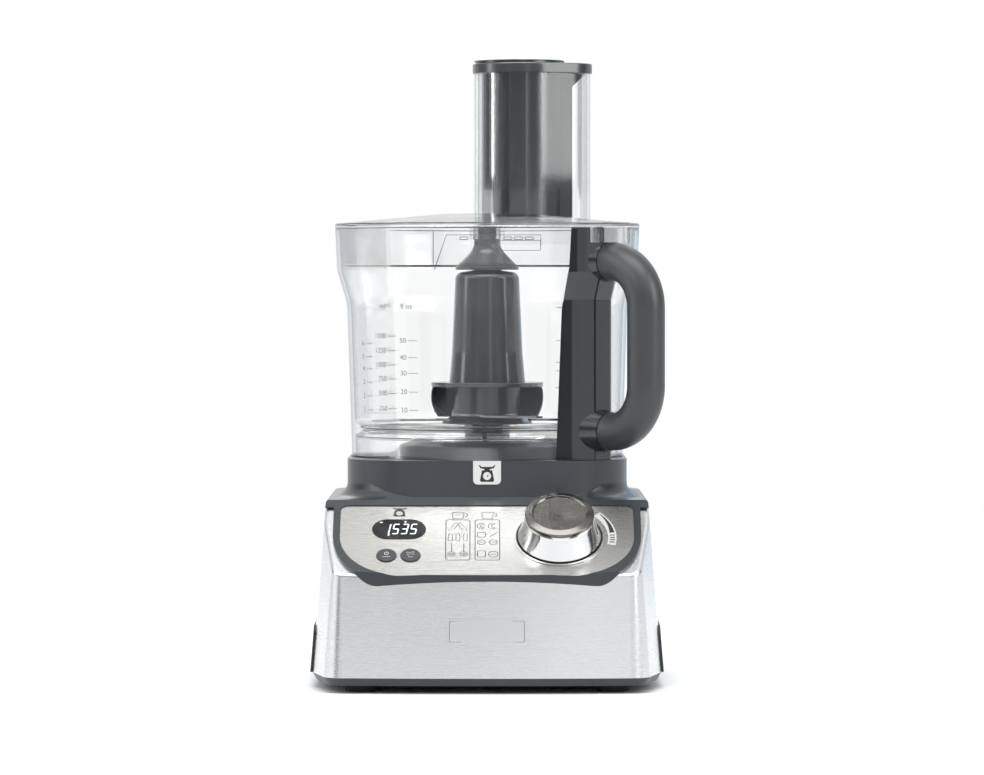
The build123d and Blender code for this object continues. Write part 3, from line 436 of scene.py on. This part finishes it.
def drawn(name, strokes, width):
    """Raised lines in millimetres on the XY plane. A stroke is its points, and whether it closes."""
    line = bpy.data.curves.new(name, "CURVE")
    line.dimensions = "3D"
    for points, closed in strokes:
        spline = line.splines.new("POLY")
        spline.points.add(len(points) - 1)
        for point, (x, y) in zip(spline.points, points):
            point.co = (x, y, 0, 1)
        spline.use_cyclic_u = closed
    line.bevel_depth = width / 2
    line.bevel_resolution = 1
    line.use_fill_caps = True
    return made_mesh(name, line)


def stamped(name, outlines, thick):
    """A flat shape in millimetres on the XY plane, cut from sheet. Outlines inside others are holes."""
    shape = bpy.data.curves.new(name, "CURVE")
    shape.dimensions = "2D"
    shape.fill_mode = "BOTH"
    for points in outlines:
        spline = shape.splines.new("POLY")
        spline.points.add(len(points) - 1)
        for point, (x, y) in zip(spline.points, points):
            point.co = (x, y, 0, 1)
        spline.use_cyclic_u = True
    shape.extrude = thick / 2
    return made_mesh(name, shape)


def arc(x, y, radius, first, last, steps=12):
    """Points on part of a circle, in degrees from +X."""
    turns = [radians(first + (last - first) * step / steps) for step in range(steps + 1)]
    return [(x + radius * cos(turn), y + radius * sin(turn)) for turn in turns]


def round_box(left, low, right, high, radius):
    """Points of a rectangle with round corners."""
    centres = ((right - radius, high - radius), (left + radius, high - radius),
               (left + radius, low + radius), (right - radius, low + radius))
    return [point for quarter, (x, y) in enumerate(centres)
            for point in arc(x, y, radius, quarter * 90, quarter * 90 + 90, 5)]


def joined(name, pieces):
    """One object made of several."""
    bpy.ops.object.select_all(action="DESELECT")
    for piece in pieces:
        piece.select_set(True)
    bpy.context.view_layer.objects.active = pieces[0]
    bpy.ops.object.join()
    pieces[0].name = name
    return pieces[0]


def fitted(piece, material, body):
    """Closes a finished mesh, turns its faces outwards, and gives it its finish, body and slot."""
    bpy.ops.object.select_all(action="DESELECT")
    piece.select_set(True)
    bpy.context.view_layer.objects.active = piece
    bpy.ops.object.mode_set(mode="EDIT")
    bpy.ops.mesh.select_all(action="SELECT")
    bpy.ops.mesh.remove_doubles(threshold=0.000002)
    bpy.ops.mesh.normals_make_consistent(inside=False)
    bpy.ops.object.mode_set(mode="OBJECT")
    piece.data.materials.clear()
    piece.data.materials.append(material)
    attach(piece, body)
    return piece


MM = Matrix.Scale(0.001, 4)
plate_steel = brushed("plate_steel", (0.72, 0.73, 0.735), (0.02, 0.02, 1.0), 0.24, 0.000001)
# Painted shade: the pressed border is a line of darker steel, for the shade along the pressing.
border_steel_shaded = brushed("border_steel_shaded", (0.3, 0.3, 0.305), (1, 1, 1), 0.3, 0.000005)
dress(plate_steel, "nameplate")
plate_low, plate_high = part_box("nameplate")
BORDER_INSET, BORDER_CORNER, BORDER_WIDTH = 1.3, 0.8, 0.5     # millimetres
border_box = [value * 1000 + BORDER_INSET for value in (plate_low[0], plate_low[2])]
border_box += [value * 1000 - BORDER_INSET for value in (plate_high[0], plate_high[2])]
plate_border = drawn("nameplate_border", [(round_box(*border_box, BORDER_CORNER), True)], BORDER_WIDTH)
plate_border.data.transform(Matrix.Rotation(pi / 2, 4, "X") @ MM)
plate_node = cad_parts["nameplate"]
for vertex in plate_border.data.vertices:       # the border is flattened onto the plate's face
    start_point = Vector((vertex.co.x, -1.0, vertex.co.z))
    found, landing, _, _ = plate_node.ray_cast(start_point, Vector((0, 1, 0)))
    vertex.co.y = (landing.y if found else plate_low[1]) + vertex.co.y * 0.6
fitted(plate_border, border_steel_shaded, "base")

# ---- Scale badge: a silver plate in the collar's front with a kitchen scale printed on it.
# Satin anodised aluminium. The pictogram is a pan on a squat body with a round dial.
badge_silver = brushed("badge_silver", (0.78, 0.78, 0.77), (1.0, 0.02, 0.02), 0.32, 0.00001)
dress(badge_silver, "scale_badge")


def ink(name, colour):
    """Screen-printed ink: a thin even film with a slight grain."""
    material, start = new_material(name)
    place = start.node("TexCoord", out=3)
    grain = start.node("TexNoise", values={"Vector": place, "Scale": 1800.0, "Detail": 2.0})
    tone = start.node("ValToRGB", {"stops": [(0.3, tuple(c * 0.85 for c in colour)), (0.7, colour)]},
                      {"Fac": grain})
    return show(material, start.node("BsdfPrincipled", values={
        "Base Color": tone, "Roughness": 0.4 + grain * 0.1}))


INK_THICK = 0.08                        # millimetres
black_ink = ink("black_ink", (0.012, 0.012, 0.013))
white_ink = ink("white_ink", (0.75, 0.76, 0.77))


def kitchen_scale(name, size):
    """Pictogram of a scale, size millimetres wide: pan, body and a ring dial with its pointer."""
    pan = [(-0.5, 0.48), (-0.4, 0.3), (-0.16, 0.24), (-0.16, 0.18), (0.16, 0.18), (0.16, 0.24), (0.4, 0.3),
           (0.5, 0.48), (0.42, 0.48), (0.33, 0.38), (-0.33, 0.38), (-0.42, 0.48)]
    body = [(-0.3, 0.18), (-0.42, -0.42), (-0.36, -0.5), (0.36, -0.5), (0.42, -0.42), (0.3, 0.18)]
    face = arc(0, -0.16, 0.235, 0, 345, 23)
    pointer = [(-0.035, -0.19), (0.1, -0.03), (0.05, -0.2)]
    shapes = [[(x * size, y * size) for x, y in outline] for outline in (pan, body, face, pointer)]
    parts = {"_pan": shapes[:1], "_body": shapes[1:3], "_pointer": shapes[3:]}
    return joined(name, [stamped(name + part, outlines, INK_THICK) for part, outlines in parts.items()])


badge_low, badge_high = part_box("scale_badge")
BADGE_SCALE = 11.0                      # width of the pictogram, millimetres
badge_scale = kitchen_scale("badge_pictogram", BADGE_SCALE)
badge_middle = Vector((0, badge_low[1], (badge_low[2] + badge_high[2]) / 2 - 0.0004))
badge_scale.data.transform(Matrix.Translation(badge_middle) @ Matrix.Rotation(pi / 2, 4, "X") @ MM)
fitted(badge_scale, black_ink, "base")

# ---- Control plate: a brushed plate on the slope with its display window, printed signs and pictograms.
# Brushed across, under clear lacquer. The signs are screen-printed.
TILT = radians(35.7)
# Painted shade: the plate's steel is darker than the wrap's, standing in for a dimmer reflection on the slope
# than the overhead lamp gives.
panel_steel = brushed("panel_steel", (0.5, 0.495, 0.48), (0.02, 1.0, 1.0), 0.27, 0.000001)
dress(panel_steel, "control_panel")
dial_low, dial_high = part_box("dial_seal")
DIAL_PLACE = (46.2, 37.6)               # across the plate and up it, millimetres
SEAL_MIDDLE = -0.65                     # middle of the dial's seal, below the plate's face
on_panel = (Matrix.Translation((Vector(dial_low) + Vector(dial_high)) / 2) @ Matrix.Rotation(TILT, 4, "X")
            @ MM @ Matrix.Translation((-DIAL_PLACE[0], -DIAL_PLACE[1], -SEAL_MIDDLE)))
PANEL_SCALE = 9.4
PANEL_SCALE_PLACE = (-56.3, 63.6)
panel_scale = kitchen_scale("panel_pictogram", PANEL_SCALE)
panel_scale.data.transform(on_panel @ Matrix.Translation((*PANEL_SCALE_PLACE, 0.0)))
fitted(panel_scale, black_ink, "base")

# All places on the plate are in millimetres across it and up it.
LEFT_BOX = (-26.3, 14.4, -10.9, 55.4)
RIGHT_BOX = (-7.6, 14.4, 8.1, 55.4)
SIGN_LINE = 0.56
FLAT_PRINT = Matrix.Scale(0.3, 4, (0, 0, 1))
jug = [(-3.2, 0), (-3.8, 6.4), (3.8, 6.4), (3.2, 0)]
signs = [(round_box(*LEFT_BOX, 1.6), True), (round_box(*RIGHT_BOX, 1.6), True)]
for middle_x in (-18.6, 0.3):
    signs.append(([(middle_x + x, 56.6 + y) for x, y in jug], True))
    signs.append((arc(middle_x + 4.4, 60.4, 1.7, -80, 80, 8), False))
for x in (-22.6, -14.8):
    signs.append((arc(x, 20.6, 2.3, 90, 450, 16), True))
    signs.append((arc(x, 20.6, 0.9, 90, 450, 10), True))
    signs.append(([(x, 22.9), (x, 31.4)], False))
for x in (-23.4, -18.6, -13.9):
    signs.append(([(x - 1.3, 34.0), (x + 1.3, 34.0), (x + 1.1, 41.0), (x - 1.1, 41.0)], True))
signs.append(([(-24.6, 45.0), (-20.0, 52.6), (-18.2, 51.4), (-21.4, 45.0)], True))
signs.append(([(-12.6, 45.0), (-17.2, 52.6), (-19.0, 51.4), (-15.8, 45.0)], True))
for x, y, radius in ((-3.6, 32.6, 2.5), (4.0, 32.6, 2.5), (4.0, 20.4, 3.0)):
    signs.append((arc(x, y, radius, 0, 345, 15), True))
    signs.append(([(x - radius * 0.6, y), (x + radius * 0.6, y)], False))
signs.append((round_box(-6.0, 17.6, -0.9, 23.8, 1.0), True))
signs.append((round_box(-6.2, 37.6, -1.0, 42.4, 1.0), True))
signs.append(([(1.4, 38.0), (6.4, 42.2)], False))
for x in (-3.4, 3.6):
    signs.append((arc(x, 49.0, 2.9, 60, 300, 12), False))
    signs.append((arc(x + 0.9, 49.0, 1.7, 60, 300, 12), False))
plate_signs = drawn("panel_signs", signs, SIGN_LINE)
plate_signs.data.transform(on_panel @ FLAT_PRINT)
fitted(plate_signs, black_ink, "base")

# ---- Display: a smoked oval window with lit segments under it, showing a weight.
# The window is gloss acrylic. The segments glow white, and lean a little.
DISPLAY_PLACE = (-56.3, 45.6)
window_acrylic = moulded("window_acrylic", (0.006, 0.006, 0.008), 0.1, 1500.0, 0.000002, 0.0, 0.25)
dress(window_acrylic, "display_lens")


def lit(name, colour, strength):
    """Light from a segment, slightly uneven along it."""
    material, start = new_material(name)
    place = start.node("TexCoord", out=3)
    patch = start.node("TexNoise", values={"Vector": place, "Scale": 500.0, "Detail": 1.0})
    tone = start.node("ValToRGB", {"stops": [(0.3, tuple(c * 0.88 for c in colour)), (0.7, colour)]},
                      {"Fac": patch})
    return show(material, start.node("BsdfPrincipled", values={
        "Base Color": (0.5, 0.5, 0.5, 1.0), "Roughness": 0.4,
        "Emission Color": tone, "Emission Strength": strength}))


SEGMENT_WIDTH, SEGMENT_THICK, SEGMENT_GAP = 0.95, 0.12, 0.15
DIGIT_WIDTH, DIGIT_HEIGHT, DIGIT_PITCH, LEAN = 3.4, 9.6, 5.7, 0.16
bpy.ops.object.select_all(action="DESELECT")
bpy.ops.mesh.primitive_circle_add(vertices=6, radius=SEGMENT_WIDTH / 2, fill_type="NGON")
bar = bpy.context.active_object
bpy.ops.object.mode_set(mode="EDIT")
bpy.ops.mesh.select_all(action="SELECT")
bpy.ops.mesh.extrude_region_move(TRANSFORM_OT_translate={"value": (0, 0, SEGMENT_THICK)})
bpy.ops.object.mode_set(mode="OBJECT")
HALF = DIGIT_HEIGHT / 2
BAR_PLACES = {"top": (0, HALF, 90), "middle": (0, 0, 90), "low": (0, -HALF, 90),
              "left_high": (-DIGIT_WIDTH / 2, HALF / 2, 0), "right_high": (DIGIT_WIDTH / 2, HALF / 2, 0),
              "left_low": (-DIGIT_WIDTH / 2, -HALF / 2, 0), "right_low": (DIGIT_WIDTH / 2, -HALF / 2, 0)}
SHOWN = [("right_high", "right_low"),
         ("top", "middle", "low", "left_high", "right_low"),
         ("top", "middle", "low", "right_high", "right_low"),
         ("top", "middle", "low", "left_high", "right_low")]
bars = []
for digit, bar_names in enumerate(SHOWN):
    for bar_name in bar_names:
        x, y, turn = BAR_PLACES[bar_name]
        piece = bar.copy()
        piece.data = bar.data.copy()
        bpy.context.collection.objects.link(piece)
        length = (DIGIT_WIDTH if turn else HALF) - SEGMENT_WIDTH - SEGMENT_GAP
        for vertex in piece.data.vertices:
            vertex.co.y += length / 2 if vertex.co.y > 0 else -length / 2
        piece.data.transform(Matrix.Translation(((digit - 1.35) * DIGIT_PITCH + x, y, 0))
                             @ Matrix.Rotation(radians(turn), 4, "Z"))
        bars.append(piece)
bpy.data.objects.remove(bar)
comma = stamped("comma", [[(-6.1, -5.0), (-5.0, -5.0), (-5.3, -6.7), (-6.2, -6.7)]], SEGMENT_THICK)
units_bar = stamped("units_bar", [round_box(-13.4, 6.4, -11.6, 7.2, 0.2)], SEGMENT_THICK)
weight_arrow = stamped("weight_arrow", [[(2.0, 7.7), (3.6, 7.7), (2.8, 6.5)]], SEGMENT_THICK)
digits = joined("display_digits", bars + [comma, units_bar, weight_arrow])
for vertex in digits.data.vertices:
    vertex.co.x += vertex.co.y * LEAN
digits.data.transform(on_panel @ Matrix.Translation((*DISPLAY_PLACE, 0.3)))
fitted(digits, lit("segment_light", (0.93, 0.96, 1.0), 1.0), "base")

# ---- Keys: two round keys with pale printed marks, one for power and one that changes the units.
# Dark satin plastic, each on a stem that reaches its switch.
key_plastic = moulded("key_plastic", (0.034, 0.036, 0.038), 0.34, 2600.0, 0.00002)
dress(key_plastic, "button_power", "button_units")
KEY_TOP, MARK_LINE = 1.28, 0.42
POWER_PLACE, UNITS_PLACE = (-63.9, 18.8), (-48.6, 18.8)
power_mark = drawn("power_key_mark", [
    (arc(0, 0.9, 1.3, 125, 415, 14), False), ([(0, 1.2), (0, 2.9)], False),
    ([(-2.6, -2.4), (2.6, -2.4)], False)], MARK_LINE)
power_mark.data.transform(on_panel @ Matrix.Translation((*POWER_PLACE, KEY_TOP)) @ FLAT_PRINT)
fitted(power_mark, white_ink, "power_button")
units_mark = drawn("units_key_mark", [
    ([(-2.6, 1.9), (2.4, 1.9), (1.3, 3.0)], False), ([(2.6, 0.1), (-2.4, 0.1), (-1.3, -1.0)], False),
    ([(-1.6, -2.6), (1.6, -2.6)], False)], MARK_LINE)
units_mark.data.transform(on_panel @ Matrix.Translation((*UNITS_PLACE, KEY_TOP)) @ FLAT_PRINT)
fitted(units_mark, white_ink, "units_button")

# ---- Speed dial: a chromed skirt, a smoked metal cap with a dished face, its shaft and the black ring round it.
# The crescent beside it is printed, and widens towards the fast end.


def dial_metal(name, colour, roughness, ring_depth):
    """Plated or smoked metal with fine rings about the dial's own axis."""
    material, start = new_material(name)
    place = start.node("TexCoord", out=3)
    centre = Matrix.Rotation(-TILT, 3, "X") @ ((Vector(dial_low) + Vector(dial_high)) / 2)
    about = start.node("Mapping", values={"Vector": place, "Rotation": (-TILT, 0, 0), "Location": (-centre)[:]})
    rings = start.node("TexWave", {"wave_type": "RINGS", "rings_direction": "Z", "wave_profile": "SIN"},
                       {"Vector": about, "Scale": 900.0, "Distortion": 0.4}, out=1)
    haze = start.node("TexNoise", values={"Vector": place, "Scale": 60.0, "Detail": 3.0})
    tone = start.node("ValToRGB", {"stops": [(0.0, tuple(c * 0.85 for c in colour)), (1.0, colour)]},
                      {"Fac": rings * 0.6 + haze * 0.4})
    bump = start.node("Bump", values={"Strength": 0.15, "Distance": ring_depth, "Height": rings})
    return show(material, start.node("BsdfPrincipled", values={
        "Base Color": tone, "Metallic": 1.0, "Roughness": roughness + haze * 0.05, "Normal": bump}))


dress(dial_metal("dial_chrome", (0.7, 0.7, 0.7), 0.05, 0.000001), "dial_knob")
dress(dial_metal("dial_smoked", (0.15, 0.145, 0.134), 0.15, 0.00001), "dial_cap")
dress(ground_steel, "dial_shaft")
dress(rubber("ring_rubber", (0.008, 0.008, 0.009)), "dial_seal")
LABEL_FROM, LABEL_TO = 44, -13          # degrees round the dial
LABEL_OUTER, LABEL_INNER = 36.6, 31.2   # radii
WEDGE_OUTER, WEDGE_INNER, WEDGE_TO, WEDGE_GROWTH = 35.6, 32.4, 8, 2.7
label_base = stamped("speed_label", [arc(*DIAL_PLACE, LABEL_OUTER, LABEL_FROM, LABEL_TO, 24)
                                     + arc(*DIAL_PLACE, LABEL_INNER, LABEL_TO, LABEL_FROM, 24)], 0.06)
label_base.data.transform(on_panel)
fitted(label_base, ink("label_silver", (0.62, 0.62, 0.6)), "base")
wedge_outer = arc(*DIAL_PLACE, WEDGE_OUTER, LABEL_FROM - 2, WEDGE_TO, 20)
wedge_inner = [(DIAL_PLACE[0] + (WEDGE_INNER + WEDGE_GROWTH * step / 20) * cos(radians(WEDGE_TO + step * 1.7)),
                DIAL_PLACE[1] + (WEDGE_INNER + WEDGE_GROWTH * step / 20) * sin(radians(WEDGE_TO + step * 1.7)))
               for step in range(21)]
speed_ticks = [arc(*DIAL_PLACE, WEDGE_OUTER, turn, turn - 1.6, 2)
               + arc(*DIAL_PLACE, WEDGE_INNER, turn - 1.6, turn, 2) for turn in (4.5, 0.5, -3.5, -7.5)]
label_wedge = stamped("speed_wedge", [wedge_outer + wedge_inner, *speed_ticks], 0.1)
label_wedge.data.transform(on_panel @ Matrix.Translation((0, 0, 0.02)))
fitted(label_wedge, black_ink, "base")

# ---- Bowl: one clear moulding with a wide upper band, a raised floor and a tall centre tube.
# Clear copolyester. The measures are printed on its outside in grey.


def clear_plastic(name, edge_shade_tone, tint):
    """Clear plastic: see-through face on, mirrored where it is seen edge on, and darkened there with painted
    shade.
    """
    material, start = new_material(name)
    place = start.node("TexCoord", out=3)
    ripple = start.node("TexNoise", values={"Vector": place, "Scale": 24.0, "Detail": 1.0})
    bump = start.node("Bump", values={"Strength": 0.04, "Distance": 0.0004, "Height": ripple})
    facing = start.node("LayerWeight", values={"Blend": 0.5}, out=1)
    mirrored = start.node("LayerWeight", values={"Blend": 0.33})
    through = start.node("BsdfTransparent", values={"Color": (tint, tint + 0.003, tint + 0.004, 1.0)})
    shine = start.node("BsdfGlossy", {"distribution": "GGX"}, {"Color": (1, 1, 1, 1), "Roughness": 0.04,
                                                               "Normal": bump})
    # Painted shade: a dark gloss mixed in where the wall is seen edge on, in place of the dark lines that light
    # bending through the wall gives.
    edge = start.node("BsdfPrincipled", values={"Base Color": (*edge_shade_tone, 1.0), "Roughness": 0.15})
    surface = start.node("MixShader", values={0: mirrored * 0.5, 1: through, 2: shine})
    return show(material, start.node("MixShader", values={0: (facing ** 9) * 0.85, 1: surface, 2: edge}))


# The first colour is the painted shade at the clear parts' edges.
clear = clear_plastic("clear_plastic", (0.05, 0.055, 0.06), 0.988)
dress(clear, "bowl")
FOOT_R, BODY_R, FOOT_Z, BODY_Z = 89.6, 93.0, 141.0, 246.0     # the bowl's outside, millimetres
PRINT_R = 91.5                                               # radius that the print is laid out at
PRINT_PROUD = 0.06                                           # gap under the print, so that it never sinks in


def round_bowl(piece):
    """Wraps flat print round the bowl. X runs along the wall from the front, and Y is height."""
    for vertex in piece.data.vertices:
        way_round, height, proud = vertex.co
        turn = way_round / PRINT_R
        rise = (min(height, BODY_Z) - FOOT_Z) / (BODY_Z - FOOT_Z)
        radius = FOOT_R + (BODY_R - FOOT_R) * rise + proud + PRINT_PROUD
        vertex.co = (radius * sin(turn) / 1000, AXIS_Y - radius * cos(turn) / 1000, height / 1000)
    return piece


def along(degrees_round):
    """Way along the wall, in millimetres, for an angle from the front."""
    return radians(degrees_round) * PRINT_R


def lettered(body, x, y, align="RIGHT"):
    """A number or unit of the print, in millimetres on the XY plane."""
    text = bpy.data.curves.new("measure", "FONT")
    text.body = body
    text.size = LETTER_SIZE
    text.align_x = align
    text.align_y = "CENTER"
    text.extrude = 0.03
    piece = made_mesh("measure", text)
    piece.data.transform(Matrix.Translation((x, y, 0)) @ Matrix.Scale(LETTER_SPREAD, 4, (1, 0, 0)))
    return piece


LETTER_SIZE, LETTER_SPREAD, TICK_LINE = 4.6, 1.2, 0.36
CUPS = {"6": 220.5, "5": 211.7, "4": 203.7, "3": 195.0, "2": 186.0, "1": 176.8}
MILLILITRES = {"1500": 225.3, "1250": 215.8, "1000": 206.5, "750": 197.4, "500": 188.0, "250": 178.0}
FLUID_OUNCES = {"50": 222.4, "40": 211.4, "30": 201.2, "20": 189.1, "10": 177.2}
COLUMNS = (     # the measures' heights, and the degrees where the numbers end and the ticks start and end
    (CUPS, -61.0, -59.6, -54.6), (MILLILITRES, -45.6, -44.8, -40.5), (FLUID_OUNCES, -34.6, -33.8, -29.4))
HEADER_Z = 244.6
print_pieces, print_ticks = [], []
for measures, text_end, tick_from, tick_to in COLUMNS:
    for number, height in measures.items():
        print_pieces.append(lettered(number, along(text_end), height))
        tick = [(along(tick_from + (tick_to - tick_from) * step / 4), height) for step in range(5)]
        print_ticks.append((tick, False))
for height in (243.9, 222.7, 208.4, 202.9, 192.0):
    print_ticks.append(([(along(29.0 + step), height) for step in range(4)], False))
print_pieces.append(lettered("ml", along(-47.3), HEADER_Z, "CENTER"))
print_pieces.append(lettered("fl oz", along(-34.3), HEADER_Z, "CENTER"))
cup_x = along(-59.7)
print_ticks.append(([(cup_x - 2.0, HEADER_Z + 1.6), (cup_x - 1.4, HEADER_Z - 1.8), (cup_x + 1.4, HEADER_Z - 1.8),
                     (cup_x + 2.0, HEADER_Z + 1.6)], True))
tick_lines = drawn("tick_lines", print_ticks, TICK_LINE)
tick_lines.data.transform(Matrix.Scale(0.2, 4, (0, 0, 1)))
measures_print = round_bowl(joined("bowl_measures", [tick_lines, *print_pieces]))
fitted(measures_print, ink("measure_ink", (0.15, 0.155, 0.16)), "bowl_assembly")

# ---- Handle: a glossy upright moulding clipped to the bowl, and a D-shaped grip plugged into it.
# The upright is slate ABS, polished. The grip has a satin skin with a fine grain.
spine_gloss = moulded("spine_gloss", (0.018, 0.02, 0.023), 0.16, 1500.0, 0.000003, 0.3)
grip_satin = moulded("grip_satin", (0.034, 0.037, 0.04), 0.38, 2600.0, 0.00003)
dress(spine_gloss, "handle_spine")
dress(grip_satin, "handle_grip")

# ---- Knife tool: a tall hub over the bowl's tube with a bell-shaped cap and two curved knives.
# Polished slate plastic and hardened stainless, ground along the blades.
tool_gloss = moulded("tool_gloss", (0.03, 0.034, 0.038), 0.18, 1500.0, 0.000004, 0.3)
# Painted shade: the knives' steel is darkened, so that inside the bowl they show dark instead of mirroring the
# white dome.
knife_steel_shaded = brushed("knife_steel_shaded", (0.26, 0.26, 0.265), (1.0, 0.15, 1.0), 0.22, 0.00001)
dress(tool_gloss, "tool_hub", "tool_cap", "drive_shaft")
dress(knife_steel_shaded, "knife_lower", "knife_upper")

# ---- Lid: a clear moulding with the feed tube, and a clear baffle plate that hangs under it in front.
# Clear copolyester. The baffle clips to the lid's underside, and has a ladder of slots along its top.
dress(clear, "lid")
BAFFLE_Y, BAFFLE_THICK, EDGE_LINE = 0.002, 1.4, 0.5
EDGE_Y = BAFFLE_Y - 0.0008              # the moulded edges stand on the baffle's front face, drawn as dark lines of painted shade
baffle_outline = [(-34.8, 268.6), (-26.9, 291.6), (35.4, 291.6), (35.4, 284.0), (16.0, 282.6), (-21.0, 288.2),
                  (-31.6, 268.6)]
baffle_slots = [round_box(x, 288.6, x + 5.4, 290.2, 0.5) for x in (-18, -9, 11.0, 18.0, 25.0)]
baffle = stamped("lid_baffle", [baffle_outline, *baffle_slots], BAFFLE_THICK)
baffle.data.transform(Matrix.Translation((0, BAFFLE_Y, 0)) @ Matrix.Rotation(pi / 2, 4, "X") @ MM)
fitted(baffle, clear, "lid_assembly")
edge_lines = [([(-35.6, 294.6), (-35.6, 272.0)], False), (baffle_outline[:4], False),
              ([(18.0, 288.0), (35.2, 288.0), (35.2, 281.4), (6.0, 281.4), (6.0, 288.0)], True)]
edge_lines += [(slot, True) for slot in baffle_slots]

# ---- Moulded beads: the thin rounded ribs along the edges of the lid and of the bowl.
# They are part of the clear mouldings, and look dark because light leaves them sideways: that darkness is
# painted shade in their colour.
bead_shade_material, bead_start = new_material("clear_bead_painted_shade")
bead_place = bead_start.node("TexCoord", out=3)
bead_drift = bead_start.node("TexNoise", values={"Vector": bead_place, "Scale": 30.0, "Detail": 2.0})
# Painted shade: the beads' dark tone stands in for light leaving the clear ribs sideways.
bead_shade_tone = bead_start.node("ValToRGB", {"stops": [(0.3, (0.02, 0.022, 0.025)), (0.7, (0.07, 0.075, 0.08))]},
                            {"Fac": bead_drift})
bead_gloss = bead_start.node("BsdfPrincipled", values={
    "Base Color": bead_shade_tone, "Roughness": 0.12 + bead_drift * 0.05})
bead_through = bead_start.node("BsdfTransparent")
show(bead_shade_material, bead_start.node("MixShader", values={
    0: 0.5 + bead_drift * 0.6, 1: bead_through, 2: bead_gloss}))


def bead(name, radius, height, width, body):
    """Ring of bead about the drive axis, in millimetres."""
    ring = drawn(name, [(arc(0, 0, radius, 0, 357, 119), True)], width)
    ring.data.transform(Matrix.Translation((0, AXIS_Y, height / 1000)) @ MM)
    fitted(ring, bead_shade_material, body)


# The baffle's moulded edges are dark lines of painted shade, in the beads' material.
baffle_edges = drawn("lid_baffle_edges", edge_lines, EDGE_LINE)
baffle_edges.data.transform(Matrix.Translation((0, EDGE_Y, 0)) @ Matrix.Rotation(pi / 2, 4, "X") @ MM)
fitted(baffle_edges, bead_shade_material, "lid_assembly")
for bead_name, radius, height, width, body in (
        ("lid_rim_bead", 100.6, 298.6, 0.7, "lid_assembly"),
        ("lid_skirt_bead", 95.2, 271.2, 0.8, "lid_assembly"),
        ("bowl_rim_bead", 100.6, 295.6, 0.6, "bowl_assembly"),
        ("bowl_floor_bead", 84.0, 164.2, 0.9, "bowl_assembly"),
        ("bowl_skirt_bead", 87.2, 158.6, 0.7, "bowl_assembly"),
        ("bowl_foot_bead", 88.4, 142.2, 0.7, "bowl_assembly")):
    bead(bead_name, radius, height, width, body)

# ---- Pushers: a large hollow pusher with a wing, and a slim one inside it with a bright dished cap.
# Semi-gloss dark grey plastic. The cap is spun steel, turned to a fine finish.
pusher_grey = moulded("pusher_grey", (0.028, 0.031, 0.034), 0.24, 1500.0, 0.000004, 0.0, 1.0)
slim_grey = moulded("slim_pusher_grey", (0.024, 0.027, 0.03), 0.24, 1500.0, 0.000004, 0.0, 1.0)
dress(pusher_grey, "pusher")
dress(slim_grey, "inner_pusher")
cap_low, cap_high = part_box("pusher_cap")
cap_axis = ((cap_low[0] + cap_high[0]) / 2, (cap_low[1] + cap_high[1]) / 2)
# Painted shade: the cap's steel is darkened, so that it shows grey instead of mirroring the white dome.
dress(turned_alloy("cap_steel_shaded", (0.24, 0.25, 0.26), cap_axis), "pusher_cap")

# ---- Interlock: the rod in the handle that the lid presses, and the sprung pin that it presses in the collar.
# Both are plain black acetal.
pin_acetal = moulded("pin_acetal", (0.012, 0.012, 0.013), 0.3, 1600.0, 0.00001)
dress(pin_acetal, "interlock_rod", "interlock_plunger")
